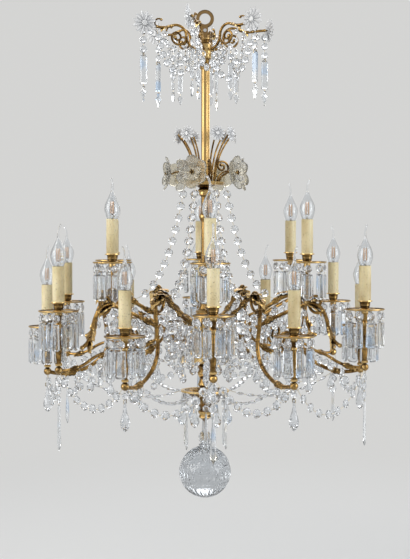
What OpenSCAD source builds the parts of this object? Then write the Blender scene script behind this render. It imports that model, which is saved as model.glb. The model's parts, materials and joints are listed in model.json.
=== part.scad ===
// Eighteen-light chandelier of gilt bronze and cut glass, hung by its ring.
// The origin is the centre of the hanging ring's eye. Heights are below it, so they are negative.
// Turns are measured in degrees round the stem, from the front (-Y) towards +X.

/* [Hanging ring and clevis] */
// Outer diameter of the hanging ring
ring_d = 42; // [38:1:50]
// Diameter of the eye that the ceiling hook goes through
eye_d = 26; // [22:1:28]
// Thickness of the ring along the eye
ring_t = 7; // [5:1:9]
// Height of the clevis pin's axis
swing_z = -28; // [-30:1:-27]
// Diameter of the clevis pin
pin_d = 5; // [4:0.5:6]
// Top of the crown hub, where the clevis cap sits
cap_z = -46; // [-50:1:-44]

/* [Stem] */
// Diameter of the threaded rod that holds the stack together
rod_d = 8; // [6:1:9]
// Outer diameter of the stem tube
stem_d = 18; // [16:1:22]
// Wall of the stem tube
stem_wall = 2; // [1.5:0.5:3]
// Bottom of the crown hub and top of the stem tube
stem_top_z = -118; // [-125:1:-114]
// Bottom of the stem tube and top of the bouquet collar
collar_z = -384; // [-400:1:-340]
// Radius of the bouquet collar's dish
collar_r = 46; // [42:1:50]
// Diameter of the supply lead clipped along the stem
lead_d = 3; // [2.5:0.5:4]

/* [Crown] */
// Turn of the first crown arm from the front
crown_turn = -11; // [-20:1:20]
// Radius at which the crown's star flowers stand
crown_r = 150; // [140:1:180]
// Height of the star flowers' centres
crown_star_z = -19; // [-24:1:-14]
// Diameter of a crown star
crown_star_d = 58; // [50:1:64]
// Diameter of the crown's scroll arms
crown_arm_d = 6.5; // [5:0.5:8]

/* [Bouquet] */
// Radius at which the small stars stand
daisy_r = 68; // [60:1:80]
// Height of the small stars' centres
daisy_z = -271; // [-280:1:-262]
// Diameter of a small star
daisy_d = 40; // [34:1:44]
// Radius at which the rose bowls stand
rose_r = 82; // [78:1:96]
// Height of the roses' centres
rose_z = -362; // [-368:1:-352]
// Diameter of a rose
rose_d = 78; // [70:1:84]

/* [Lights] */
// Turn of the first middle arm from the front
arm_turn = 2.5; // [-10:0.5:10]
// Reach of the six middle lights
mid_r = 389; // [370:1:470]
// Foot of the middle lights' sleeves
mid_z = -651; // [-660:1:-640]
// Reach of the six upper lights
up_r = 253; // [245:1:262]
// Foot of the upper lights' sleeves
up_z = -547; // [-555:1:-500]
// Reach of the six low lights
low_r = 369; // [350:1:440]
// Foot of the low lights' sleeves
low_z = -698.5; // [-704:0.5:-690]
// Outer diameter of a candle sleeve
sleeve_d = 26.5; // [24:0.5:30]
// Length of a candle sleeve
sleeve_l = 77.4; // [65:0.1:95]
// Wall of a candle sleeve
sleeve_wall = 1.2; // [1:0.1:2]
// Height of a candle cup under its sleeve
cup_h = 20; // [16:1:24]
// Diameter of a drip pan
pan_d = 88; // [80:1:96]
// Thickness of a drip pan
pan_t = 1.6; // [1.2:0.1:2.4]
// Diameter of the threaded tube that carries a light
nipple_d = 10; // [9:0.5:12]
// Greatest diameter of a flame bulb
bulb_d = 35; // [33:1:37]
// Height of a flame bulb above its sleeve
bulb_h = 92; // [88:1:98]

/* [Arms] */
// Diameter of the arms' main scrolls
arm_d = 9; // [8:0.5:10]
// Diameter of the arms' thin branches and curls
branch_d = 7; // [6:0.5:8]
// Radius of the hub drum that the arms screw into
hub_r = 26; // [24:1:34]
// Height of the arch that carries an upper light
arch_z = -663; // [-670:1:-656]
// Height of the knop under a middle light
mid_knop_z = -800; // [-812:1:-790]
// Height of the knop under a low light
low_knop_z = -823; // [-835:1:-815]
// Diameter of those knops
knop_d = 18; // [16:1:22]
// Width of an acanthus leaf
leaf_w = 30; // [24:1:36]

/* [Crystals] */
// Beads under the rims: distance across the flats
rim_bead_d = 17; // [14:0.5:18]
// Beads of the long chains and swags
chain_bead_d = 19; // [16:0.5:20]
// Beads of the crown
crown_bead_d = 17; // [14:0.5:17]
// Thickness of a bead
bead_t = 7; // [5:0.5:8]
// Length of a plaque prism
plaque_l = 58; // [48:1:60]
// Foot width of the wide plaques
plaque_w = 25; // [20:1:26]
// Foot width of the narrow plaques
sliver_w = 16; // [12:1:18]
// Thickness of plaques, blades and spears
plaque_t = 6; // [5:0.5:7]
// Diameter of the large rosettes under the arms
rosette_d = 27; // [22:1:30]
// Diameter of the linking wire
wire_d = 1.2; // [1:0.1:1.6]
// Visible length of the wire between two crystals
link_l = 3.5; // [3:0.5:5]

/* [Bottom] */
// Top of the bottom bowl's gallery
bowl_z = -870; // [-876:1:-862]
// Radius of the gallery
bowl_r = 57; // [54:1:62]
// Foot of the bottom bowl, where the finial nut closes the stack
bowl_foot_z = -926; // [-932:1:-922]
// Diameter of the crystal ball
ball_d = 122; // [110:1:124]
// Height of the pin that the ball swings on
ball_pin_z = -983; // [-986:1:-980]

/* [Hidden] */
$fn = 48;

// Clearances
fit = 0.05;     // round a pin or rod in its bore
seat = 0.3;     // between a wire's end and what carries it
slack = 0.1;    // round the small pins that crystals swing on

// Six arms in each tier, one node each. Their turns stray from even steps, as the arms are set by hand
tiers = [0:5];
step = 60;
low_turn = step / 2;
mid_stray = [0, 4, 1, 0, 0, 2.5];
low_stray = [-2, 0, 2, 0, 2, 0.5];
function mid_t(i) = arm_turn + i * step + mid_stray[i];
function low_t(i) = arm_turn + i * step + low_turn + low_stray[i];

// Colours
gilt = [0.72, 0.52, 0.22];
old_bronze = [0.45, 0.31, 0.15];
steel = [0.62, 0.62, 0.64];
ivory = [0.93, 0.87, 0.66];
crystal = [0.9, 0.95, 1, 0.55];
clear_glass = [0.95, 0.97, 1, 0.3];
amber = [1, 0.62, 0.2];

// Derived heights and radii
lug_r = 7;
ear_t = 4;
ear_gap = ring_t + 2 * seat;
ear_y = ear_gap / 2 + ear_t;
crown_hub_r = 15;
collar_h = 20;
column_z = collar_z - collar_h;
dish_deep = 1.6;
dish_floor = collar_z - dish_deep;
hub_top_z = -690;
hub_foot_z = -836;
nut_h = 18;
rod_in_cap = 4.5;
cap_h = 7;
main_high_z = -752;
low_root_z = -715;
tenon_l = 9;
pan_r = pan_d / 2;
hang_r = pan_r - 4;
pan_top = -cup_h;
pan_foot = pan_top - pan_t;
cup_r = sleeve_d / 2 + 3.5;
holder_r = 9.6;
holder_h = sleeve_l - 12;
cap_r = 7;
cap_low = sleeve_l - 34;
cap_high = sleeve_l - 7;
glass_t = 0.9;
wire_gap = seat + wire_d / 2;
plaque_pitch = link_l + 2 * seat;
tear_bead_d = 14;
hung_per_low = 10;
hung_per_up = 8;

function at(r, t, z) = [r * sin(t), -r * cos(t), z];
function sinh(x) = (exp(x) - exp(-x)) / 2;
function cosh(x) = (exp(x) + exp(-x)) / 2;
function asinh(x) = ln(x + sqrt(x * x + 1));
function atanh(x) = ln((1 + x) / (1 - x)) / 2;

// Every light: [reach, turn, foot of sleeve, top of the piece that its stem stands on, hangings]
lights = [
  for (i = tiers) [mid_r, mid_t(i), mid_z, mid_knop_z, hung_per_low],
  for (i = tiers) [up_r, mid_t(i), up_z, arch_z, hung_per_up],
  for (i = tiers) [low_r, low_t(i), low_z, low_knop_z, hung_per_low]
];

// Stands a drawing made in x and y upright in the plane of an arm, x pointing outwards
module turned(t) {
  rotate([0, 0, t - 90]) children();
}

module upright() {
  rotate([90, 0, 0]) children();
}

module placed(p, t) {
  translate(p) turned(t) children();
}

module on_light(light) {
  placed(at(light[0], light[1], light[2]), light[1]) children();
}

// Moves a piece to p with its x axis along x and its z axis along z, which are square unit vectors
module set_at(p, x, z) {
  y = cross(z, x);
  multmatrix([[x[0], y[0], z[0], p[0]], [x[1], y[1], z[1], p[1]], [x[2], y[2], z[2], p[2]], [0, 0, 0, 1]])
    children();
}

// A round bar between two points
module bar(p, q, d) {
  v = q - p;
  translate(p) rotate([0, acos(v[2] / norm(v)), atan2(v[1], v[0])]) cylinder(d = d, h = norm(v));
}

// Round bar in the x, y plane through the route's points: arcs that meet without a corner
function bearing(p, q) = atan2(q[1] - p[1], q[0] - p[0]);
function wrapped(a) = a > 180 ? a - 360 : a < -180 ? a + 360 : a;
function half_turn(p, q, a) = wrapped(bearing(p, q) - a);

module arc(r, sweep, side, d, trim = 0) {
  translate([0, side * r]) rotate(side > 0 ? trim - 90 : 90 - sweep + trim)
    rotate_extrude(angle = sweep - 2 * trim) translate([r, 0]) circle(d = d);
}

// Each bend stops short of the next by a hair, inside the knuckle that joins them
knuckle = 1.16;
hair = 0.2;
function ball_r(d) = d * knuckle / 2;

// Direction in which a bend ends, and the point at a share u of its sweep
function bend_end(p, q, a) = a + 2 * half_turn(p, q, a);
function on_bend(p, q, a, u) = let (half = half_turn(p, q, a))
  p + norm(q - p) * sin(half * u) / sin(half) * [cos(a + half * u), sin(a + half * u)];

module bend(p, q, a, d) {
  half = half_turn(p, q, a);
  r = norm(q - p) / (2 * abs(sin(half)));
  translate([p[0], p[1], 0]) rotate(a) arc(r, 2 * abs(half), sign(half), d, asin(hair / r));
}

module run(route, a, d, i = 0) {
  if (i < len(route) - 1) {
    bend(route[i], route[i + 1], a, d);
    translate([route[i + 1][0], route[i + 1][1], 0]) sphere(r = ball_r(d));
    run(route, bend_end(route[i], route[i + 1], a), d, i + 1);
  }
}

// Curl of half turns, each tighter than the last, ending in a bud
module volute(r, d, halves, side) {
  if (halves > 0) {
    arc(r, 180, side, d);
    translate([0, 2 * side * r]) rotate(180) volute(r * 0.62, d, halves - 1, side);
  } else sphere(d = d * 1.7);
}

// Acanthus leaf along +x that curves down with the given radius: a curved plate cut to a lobed outline
module leaf(length, width, r, thick) {
  lobes = 3;
  steps = 12;
  half = [for (i = [0:steps]) let (u = i / steps)
    [length * u, width / 2 * pow(sin(180 * pow(u, 0.75)), 0.7) * (0.7 + 0.3 * abs(cos(180 * lobes * u)))]];
  outline = concat(half, [for (i = [steps - 1:-1:1]) [half[i][0], -half[i][1]]]);
  sweep = asin(length / r) + 2;
  intersection() {
    translate([0, -r]) rotate(90 - sweep)
      rotate_extrude(angle = sweep) translate([r - thick / 2, -width / 2]) square([thick, width]);
    rotate([90, 0, 0]) translate([0, 0, -thick]) linear_extrude(r + 2 * thick) polygon(outline);
  }
}

// Octagonal bead, flat, its wires leaving along x and its faces looking along z
module bead(d) {
  rotate(22.5) cylinder(d = d / cos(22.5), h = bead_t, center = true, $fn = 8);
}

// Round cut rosette facing z
module rosette(d, t) {
  rotate_extrude() polygon([[0, -t / 2], [d * 0.26, -t / 2], [d / 2, -t * 0.12], [d / 2, t * 0.12],
    [d * 0.26, t / 2], [0, t / 2]]);
}

// Star flower of cut glass facing z: its points are ridged on both faces, its middle stands out to a peak
notch = 0.66;
function star_peak(d) = d * 0.1;

module star(d, points = 12) {
  outer = d / 2;
  inner = outer * notch;
  n = 2 * points;
  rim = [for (i = [0:n - 1]) let (r = i % 2 == 0 ? outer : inner) [r * cos(i * 180 / points),
    r * sin(i * 180 / points), 0]];
  peak = star_peak(d);
  polyhedron(concat(rim, [[0, 0, peak], [0, 0, -peak]]),
    concat([for (i = [0:n - 1]) [(i + 1) % n, i, n]], [for (i = [0:n - 1]) [i, (i + 1) % n, n + 1]]));
}

// Rose of two scalloped bowls facing z
module rose_bowl(petals, ring_r, petal_r, bowl_r_in, thick) {
  intersection() {
    difference() {
      translate([0, 0, bowl_r_in + thick]) sphere(r = bowl_r_in + thick);
      translate([0, 0, bowl_r_in + thick]) sphere(r = bowl_r_in);
    }
    linear_extrude(ring_r) union() {
      circle(r = ring_r);
      for (i = [0:petals - 1]) rotate(i * 360 / petals) translate([ring_r, 0]) circle(r = petal_r);
    }
  }
}

// Flat crystals that hang down -y from their top at the origin, facing z
module plaque(width) {
  corner = width * 0.18;
  top = width * 0.42;
  translate([0, 0, -plaque_t / 2]) linear_extrude(plaque_t)
    polygon([[-top, 0], [top, 0], [width / 2, corner - plaque_l], [width / 2 - corner, -plaque_l],
      [corner - width / 2, -plaque_l], [-width / 2, corner - plaque_l]]);
}

module blade(length, width) {
  translate([0, 0, -plaque_t / 2]) linear_extrude(plaque_t)
    polygon([[-width / 3, 0], [width / 3, 0], [width / 2, -width / 3], [width / 2, -length],
      [-width / 2, -length], [-width / 2, -width / 3]]);
}

module arrow(length, width) {
  translate([0, 0, -plaque_t / 2]) linear_extrude(plaque_t)
    polygon([[-width / 5, 0], [width / 5, 0], [width / 5, -length * 0.22], [width / 2, -length * 0.34],
      [0, -length], [-width / 2, -length * 0.34], [-width / 5, -length * 0.22]]);
}

module spear(length, width) {
  translate([0, 0, -plaque_t / 2]) linear_extrude(plaque_t)
    polygon([[-width / 5, 0], [width / 5, 0], [width / 2, -length * 0.86], [0, -length],
      [-width / 2, -length * 0.86]]);
}

// Pear-shaped drop turned about y: the profile is a sine curve that swells towards its foot
module pear(length, width) {
  steps = 9;
  rotate([90, 0, 0]) rotate_extrude()
    polygon(concat([[0, 0]],
      [for (i = [0:steps]) let (u = i / steps) [width * (0.12 + 0.38 * pow(sin(90 * min(1, u / 0.74)), 2))
        * (u > 0.74 ? cos(62 * (u - 0.74) / 0.26) : 1), length * u]],
      [[0, length]]));
}

// Parameter of the catenary that spans l with a length of s, found by halving the range k times
function catenary_c(l, s, low, high, k) = let (mid = (low + high) / 2)
  k == 0 ? mid
    : 2 * mid * sinh(l / (2 * mid)) > s ? catenary_c(l, s, mid, high, k - 1)
    : catenary_c(l, s, low, mid, k - 1);

// Garland of n beads hung from a to b, longer than its span by the factor ease; every point is
// [place, tangent, side]

function garland(a, b, n, ease) = let (
  flat = [b[0] - a[0], b[1] - a[1], 0],
  l = norm(flat),
  e = flat / l,
  h = b[2] - a[2],
  s = ease * norm(b - a),
  pitch = s / (n + 1),
  c = catenary_c(l, sqrt(s * s - h * h), l / 20, l * 20, 40),
  x0 = l / 2 - c * atanh(h / s),
  u0 = sinh(x0 / c)
) [for (i = [0:n + 1]) let (
  u = i * pitch / c - u0,
  x = x0 + c * asinh(u),
  y = c * (sqrt(1 + u * u) - cosh(x0 / c)),
  t = (e + [0, 0, u]) / sqrt(1 + u * u)
) [a + e * x + [0, 0, y], t, cross(e, [0, 0, 1])]];

// Beads that show their faces sideways or, where outwards is set, square to that
module garland_beads(line, d, outwards = false) {
  for (i = [1:len(line) - 2])
    set_at(line[i][0], line[i][1], outwards ? cross(line[i][2], line[i][1]) : line[i][2]) bead(d);
}

module garland_links(line, d) {
  last = len(line) - 1;
  for (i = [0:last - 1])
    bar(line[i][0] + (i == 0 ? 0 : d / 2 + seat) * line[i][1],
      line[i + 1][0] - (i == last - 1 ? 0 : d / 2 + seat) * line[i + 1][1], wire_d);
}

// Straight string of n beads and the wires above each, hanging from the origin down -y, facing z
function string_l(d, n) = n * (d + plaque_pitch);

module on_string(d, n) {
  for (i = [0:n - 1]) translate([0, -i * (d + plaque_pitch) - plaque_pitch - d / 2, 0]) children();
}

module string_beads(d, n) {
  on_string(d, n) rotate(90) bead(d);
}

module string_wires(d, n) {
  for (i = [0:n - 1]) translate([0, -i * (d + plaque_pitch) - seat - link_l / 2, 0])
    rotate([90, 0, 0]) cylinder(d = wire_d, h = link_l, center = true);
}

// Staple that a drilled crystal swings on: its foot bar lies along z through the drop's hole
staple_h = 7;
staple_w = plaque_t + 4;
swing_d = 1.8;
swing_inset = 3.4;

module staple() {
  translate([0, -staple_h, 0]) {
    cylinder(d = swing_d, h = staple_w + swing_d, center = true);
    for (s = [-1, 1]) translate([0, staple_h / 2, s * staple_w / 2])
      rotate([90, 0, 0]) cylinder(d = swing_d, h = staple_h, center = true);
  }
  translate([0, -swing_d / 2, 0]) cylinder(d = swing_d, h = staple_w + swing_d, center = true);
}

module drilled() {
  difference() {
    children();
    translate([0, -swing_inset, 0]) cylinder(d = swing_d + 2 * slack, h = bead_t * 6, center = true);
  }
}

// Top of a drop whose hole's axis lies on a staple hung from the given height
function hung_z(z) = z - staple_h + swing_inset;

// Where strings leave a round knop: sideways and down
function knop_eye(r, t, z, side) = let (reach = knop_d / 2 + wire_gap)
  at(r, t, z) + reach * sin(50) * side * [cos(t), sin(t), 0] - [0, 0, reach * cos(50)];

// Hanging ring and its clevis

module hanging_ring() {
  color(old_bronze) difference() {
    rotate([90, 0, 0]) union() {
      rotate_extrude() translate([eye_d / 2, 0]) difference() {
        translate([0, -ring_t / 2]) square([ring_d / 2 - eye_d / 2, ring_t]);
        for (s = [-1, 1]) translate([ring_d / 2 - eye_d / 2, s * ring_t / 2]) rotate(45)
          square(ring_t / 3, center = true);
      }
      hull() for (y = [swing_z, 4 - ring_d / 2]) translate([0, y, 0])
        cylinder(r = lug_r, h = ring_t, center = true);
    }
    translate([0, 0, swing_z]) rotate([90, 0, 0]) cylinder(d = pin_d + 2 * fit, h = 2 * ear_y, center = true);
    rotate([90, 0, 0]) cylinder(d = eye_d, h = 2 * ring_t, center = true);
  }
}

module ring_pin() {
  color(steel) translate([0, 0, swing_z]) rotate([90, 0, 0]) {
    cylinder(d = pin_d, h = 2 * ear_y, center = true);
    for (s = [-1, 1]) translate([0, 0, s * (ear_y + seat + 1)]) cylinder(d = pin_d + 3, h = 2, center = true);
  }
}

module top_cap() {
  color(old_bronze) difference() {
    union() {
      for (s = [-1, 1]) translate([0, s * (ear_gap + ear_t) / 2, 0]) rotate([90, 0, 0]) union() {
        translate([0, swing_z, 0]) cylinder(r = lug_r, h = ear_t, center = true);
        translate([0, (swing_z + cap_z + cap_h / 2) / 2, 0])
          cube([2 * lug_r, swing_z - cap_z - cap_h / 2, ear_t], center = true);
      }
      translate([0, 0, cap_z]) cylinder(r = crown_hub_r - 2, h = cap_h);
    }
    translate([0, 0, swing_z]) rotate([90, 0, 0]) cylinder(d = pin_d + 2 * fit, h = 3 * ear_y, center = true);
    translate([0, 0, cap_z - 1]) cylinder(d = rod_d + 2 * fit, h = 1 + rod_in_cap + seat);
  }
}

// Stem

module rod_bore(z_low, z_high) {
  translate([0, 0, z_low - 1]) cylinder(d = rod_d + 2 * fit, h = z_high - z_low + 2);
}

module centre_rod() {
  foot = bowl_foot_z - nut_h / 2;
  color(steel) translate([0, 0, foot]) cylinder(d = rod_d, h = cap_z + rod_in_cap - foot);
}

module stem_tube() {
  color(gilt) translate([0, 0, collar_z]) difference() {
    cylinder(d = stem_d, h = stem_top_z - collar_z);
    translate([0, 0, -1]) cylinder(d = stem_d - 2 * stem_wall, h = stem_top_z - collar_z + 2);
  }
}

module supply_lead() {
  color(gilt) placed(at(stem_d / 2 + lead_d / 2 + seat, 60, collar_z + seat), 0)
    cylinder(d = lead_d, h = stem_top_z - collar_z - 2 * seat);
}

module crown_hub() {
  h = cap_z - stem_top_z;
  color(gilt) translate([0, 0, stem_top_z]) difference() {
    rotate_extrude() polygon([[0, 0], [13, 0], [14.5, 3], [crown_hub_r - 2, 8], [9.5, 14], [11, 22],
      [crown_hub_r, 26], [crown_hub_r, h - 14], [11, h - 9], [crown_hub_r - 3, h - 4],
      [crown_hub_r - 2, h], [0, h]]);
    rod_bore(0, h);
  }
}

// Crown

crown_tip = [crown_r, crown_star_z];
crown_route = [[crown_hub_r + seat, cap_z - 26], [46, cap_z + 4], [80, crown_star_z - 1],
  [crown_r - 32, crown_star_z - 5], crown_tip];
crown_curl_r = 18;
crown_curl_lean = -100;
crown_curl_d = crown_arm_d * 0.8;
crown_curl_mid = crown_route[1] + crown_curl_r * [cos(crown_curl_lean + 90), sin(crown_curl_lean + 90)];
function crown_t(i) = crown_turn + i * step;

// The stars are screwed to one side or the other of their arms' tips, and one faces outwards on a stud
star_side = [-1, -1, 0, 1, 1, 1];
star_stud_l = 2;

module crown_arms() {
  color(gilt) for (i = tiers) turned(crown_t(i)) upright() union() {
    run(crown_route, 0, crown_arm_d);
    translate(crown_route[1]) rotate(crown_curl_lean) volute(crown_curl_r, crown_curl_d, 3, 1);
    translate(crown_route[3]) rotate(34) volute(10, crown_arm_d * 0.6, 1, 1);
    translate(crown_route[2]) rotate(-8) leaf(30, 18, 46, 2.4);
    if (star_side[i] == 0) translate(crown_tip) rotate([0, 90, 0])
      cylinder(d = crown_arm_d - 2, h = ball_r(crown_arm_d) + star_stud_l);
  }
}

module crown_stars() {
  stand_off = ball_r(crown_arm_d) + seat + star_peak(crown_star_d);
  color(crystal) for (i = tiers) turned(crown_t(i)) upright() translate(crown_tip)
    if (star_side[i] == 0) rotate([0, 90, 0]) translate([0, 0, stand_off + star_stud_l]) star(crown_star_d);
    else translate([0, 0, -star_side[i] * stand_off]) rotate(15) star(crown_star_d);
}

festoon_n = 9;
festoon_ease = 1.92;
function under_crown(p, d, t) = at(p[0], t, p[1] - d - wire_gap);
function crown_festoon(i) = garland(under_crown(crown_route[3], ball_r(crown_arm_d), crown_t(i)),
  under_crown(crown_curl_mid, crown_curl_r + crown_curl_d / 2, crown_t(i + 1)), festoon_n, festoon_ease);

crown_string_n = 3;
crown_string_z = crown_tip[1] - ball_r(crown_arm_d);

module crown_strings(kind) {
  for (i = tiers) {
    placed(at(crown_tip[0], crown_t(i), crown_string_z), crown_t(i)) upright()
      if (kind == "bead") string_beads(crown_bead_d, crown_string_n);
      else {
        string_wires(crown_bead_d, crown_string_n);
        translate([0, -string_l(crown_bead_d, crown_string_n) - seat, 0]) staple();
      }
  }
}

module crown_beads() {
  color(crystal) {
    for (i = tiers) garland_beads(crown_festoon(i), crown_bead_d);
    crown_strings("bead");
  }
}

module crown_wires() {
  color(gilt) {
    for (i = tiers) garland_links(crown_festoon(i), crown_bead_d);
    crown_strings("wire");
  }
}

drop_blade_l = 68;
drop_arrow_l = 36;
crown_drop_z = hung_z(crown_string_z - string_l(crown_bead_d, crown_string_n) - seat);

module crown_drop(i) {
  color(crystal) placed(at(crown_tip[0], crown_t(i), crown_drop_z), crown_t(i)) upright() {
    drilled() blade(drop_blade_l, 16);
    translate([0, -drop_blade_l - seat, 0]) {
      translate([0, -link_l / 2, 0]) rotate([90, 0, 0]) cylinder(d = wire_d, h = link_l, center = true);
      translate([0, -link_l - seat, 0]) arrow(drop_arrow_l, 18);
    }
  }
}

module crown_drop_1() { crown_drop(0); }
module crown_drop_2() { crown_drop(1); }
module crown_drop_3() { crown_drop(2); }
module crown_drop_4() { crown_drop(3); }
module crown_drop_5() { crown_drop(4); }
module crown_drop_6() { crown_drop(5); }

// Bouquet: turns set by hand, as the flowers' stalks are bent

daisy_turns = [-82, -36, 24, 60, 96, 140, 205, 242];
rose_turns = [-80, -19, 55, 104, 160, 220];
scroll_turns = [12, 118, 182, 262];
scroll_d = 5;
scroll_route = [[36, dish_floor + seat], [52, collar_z + 22]];
stalk_d = 4;
screw_d = 3;
daisy_tip = [daisy_r - 5, daisy_z - 1];
rose_tip = [rose_r - 4, rose_z];
rose_lean = 86;
petal_t = 3;
inner_rose_z = 7;

module bouquet_collar() {
  h = collar_h;
  color(gilt) translate([0, 0, column_z]) difference() {
    rotate_extrude() polygon([[0, 0], [15, 0], [17, 4], [13, 9], [20, 14], [collar_r - 2, h - 4],
      [collar_r, h + 3], [collar_r - 2, h + 3], [collar_r - 4, h - dish_deep], [20, h - dish_deep],
      [stem_d / 2 + 4, h], [0, h]]);
    rod_bore(0, h);
  }
}

module on_stalk(tip, t, lean) {
  placed(at(tip[0], t, tip[1]), t) rotate([0, lean, 0]) translate([0, 0, ball_r(stalk_d) + seat]) children();
}

module bouquet_stems() {
  foot = dish_floor + seat;
  screw_l = inner_rose_z + petal_t + 2 * seat;
  scroll_lean = bend_end(scroll_route[0], scroll_route[1], 90);
  color(gilt) {
    for (t = daisy_turns) turned(t) upright()
      run([[23, foot], [36, daisy_z - 45], daisy_tip], 90, stalk_d);
    for (t = rose_turns) {
      turned(t) upright() run([[34, foot], rose_tip], 90, stalk_d);
      on_stalk(rose_tip, t, rose_lean) {
        translate([0, 0, -stalk_d / 2]) cylinder(d = screw_d, h = screw_l + stalk_d / 2 + 1);
        translate([0, 0, screw_l]) cylinder(d = 3 * screw_d, h = 2.5);
      }
    }
    for (t = scroll_turns) turned(t) upright() {
      run(scroll_route, 90, scroll_d);
      translate(scroll_route[1]) rotate(scroll_lean) volute(16, scroll_d, 3, 1);
    }
  }
}

module bouquet_stars() {
  color(crystal) for (t = daisy_turns)
    on_stalk(daisy_tip, t, 82) translate([0, 0, star_peak(daisy_d)]) star(daisy_d);
}

module bouquet_roses() {
  petal_r = rose_d * 0.21;
  color(crystal) for (t = rose_turns) on_stalk(rose_tip, t, rose_lean) difference() {
    union() {
      rose_bowl(6, rose_d / 2 - petal_r, petal_r, 64, petal_t);
      translate([0, 0, inner_rose_z]) rotate(30) rose_bowl(5, rose_d * 0.15, rose_d * 0.13, 40, petal_t);
    }
    translate([0, 0, -1]) cylinder(d = screw_d + 2 * fit, h = inner_rose_z + petal_t + 3);
  }
}

// Column, hub and arms

module hub_column() {
  h = column_z - hub_top_z;
  color(gilt) translate([0, 0, hub_top_z]) difference() {
    rotate_extrude() polygon([[0, 0], [20, 0], [22, 6], [15, 12], [11, 22], [16, 40], [19, 62], [15, 84],
      [9.5, 100], [9.5, 106], [15, 110], [15, 114], [9, 120], [9, h - 70], [14, h - 60], [14, h - 54],
      [9, h - 48], [9, h - 12], [14, h - 6], [14, h], [0, h]]);
    rod_bore(0, h);
  }
}

module tenon_bore(t, z) {
  turned(t) translate([hub_r - tenon_l - seat, 0, z]) rotate([0, 90, 0])
    cylinder(d = branch_d + 2 * fit, h = tenon_l + seat + 5);
}

module arm_hub() {
  h = hub_top_z - hub_foot_z;
  color(gilt) translate([0, 0, hub_foot_z]) difference() {
    rotate_extrude() polygon([[0, 0], [16, 0], [18, 6], [14, 14], [18, 22], [hub_r, 30], [hub_r, h - 10],
      [hub_r - 4, h - 4], [hub_r - 4, h], [0, h]]);
    rod_bore(0, h);
    for (i = tiers) {
      tenon_bore(mid_t(i), main_high_z - hub_foot_z);
      tenon_bore(low_t(i), low_root_z - hub_foot_z);
    }
  }
}

module tenon(z) {
  translate([hub_r - tenon_l, z, 0]) rotate([0, 90, 0]) cylinder(d = branch_d, h = tenon_l + 8);
}

high_route = [[hub_r + 4, main_high_z], [110, main_high_z + 22], [up_r - 3, arch_z], [up_r + 38, arch_z - 14],
  [up_r + 51, arch_z - 52], [mid_r - 58, mid_knop_z + 46]];
thin_route = [high_route[1], [215, mid_knop_z + 30], [mid_r - 76, mid_knop_z + 16], [mid_r, mid_knop_z]];

module main_arm(i) {
  color(gilt) turned(mid_t(i)) upright() difference() {
    union() {
      tenon(main_high_z);
      run(high_route, 0, arm_d);
      run(thin_route, -58, branch_d);
      translate(high_route[4]) rotate(-62) leaf(50, leaf_w, 74, 3.4);
      translate(high_route[2]) rotate(-4) leaf(40, leaf_w * 0.8, 46, 3);
      translate(high_route[3]) rotate(-140) volute(20, branch_d, 3, -1);
      translate(thin_route[1]) rotate(200) volute(22, branch_d, 3, -1);
      translate([mid_r, mid_knop_z]) sphere(d = knop_d);
      translate([up_r, arch_z]) rotate([-90, 0, 0]) cylinder(d = nipple_d + 3, h = 7);
    }
    translate([up_r, arch_z]) rotate([-90, 0, 0]) cylinder(d = branch_d + 2 * fit, h = 20);
    translate([mid_r, mid_knop_z]) rotate([-90, 0, 0]) cylinder(d = branch_d + 2 * fit, h = 20);
  }
}

low_shoulder = [165, -662];
low_route = [[hub_r + 4, low_root_z], low_shoulder, [215, -645], [238, -668], [229, -735],
  [248, low_knop_z + 28], [300, low_knop_z - 1], [low_r, low_knop_z]];

module low_arm(i) {
  color(gilt) turned(low_t(i)) upright() difference() {
    union() {
      tenon(low_root_z);
      run(low_route, 8, arm_d);
      translate(low_route[2]) rotate(4) leaf(40, leaf_w, 46, 3.4);
      translate(low_route[3]) rotate(-138) volute(22, branch_d, 3, -1);
      translate([low_r, low_knop_z]) sphere(d = knop_d);
    }
    translate([low_r, low_knop_z]) rotate([-90, 0, 0]) cylinder(d = branch_d + 2 * fit, h = 20);
  }
}

module main_arm_1() { main_arm(0); }
module main_arm_2() { main_arm(1); }
module main_arm_3() { main_arm(2); }
module main_arm_4() { main_arm(3); }
module main_arm_5() { main_arm(4); }
module main_arm_6() { main_arm(5); }
module low_arm_1() { low_arm(0); }
module low_arm_2() { low_arm(1); }
module low_arm_3() { low_arm(2); }
module low_arm_4() { low_arm(3); }
module low_arm_5() { low_arm(4); }
module low_arm_6() { low_arm(5); }

// Lights: stem, pan, cup, lampholder, sleeve and bulb. The origin is the foot of the sleeve

module candle_stems() {
  color(gilt) for (light = lights) on_light(light) {
    foot = light[3] - light[2];
    thin = light[0] == up_r;
    top = thin ? foot + 7 : foot + knop_d / 2;
    l = pan_foot - top;
    translate([0, 0, foot + 1]) cylinder(d = branch_d, h = pan_foot - foot - 1);
    translate([0, 0, pan_foot - 1]) cylinder(d = nipple_d, h = 11 - pan_foot);
    if (thin) translate([0, 0, pan_foot - 8]) cylinder(d = nipple_d + 5, h = 8);
    else translate([0, 0, top + seat]) rotate_extrude()
      polygon([[0, 0], [7, 0], [8, 4], [5, 8], [7.5, l * 0.3], [5, l * 0.5], [5, l * 0.7], [7, l * 0.72],
        [7, l * 0.76], [5, l * 0.8], [8, l - 5], [8, l - seat], [0, l - seat]]);
  }
}

module drip_pans() {
  color(gilt) for (light = lights) on_light(light) difference() {
    rotate_extrude() polygon([[0, pan_foot], [pan_r - 2, pan_foot], [pan_r, pan_foot + 1.2],
      [pan_r, pan_top + 2], [pan_r - 1.4, pan_top + 2], [pan_r - 2.4, pan_top], [0, pan_top]]);
    translate([0, 0, pan_foot - 1]) cylinder(d = nipple_d + 2 * fit, h = pan_t + 2);
  }
}

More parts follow.
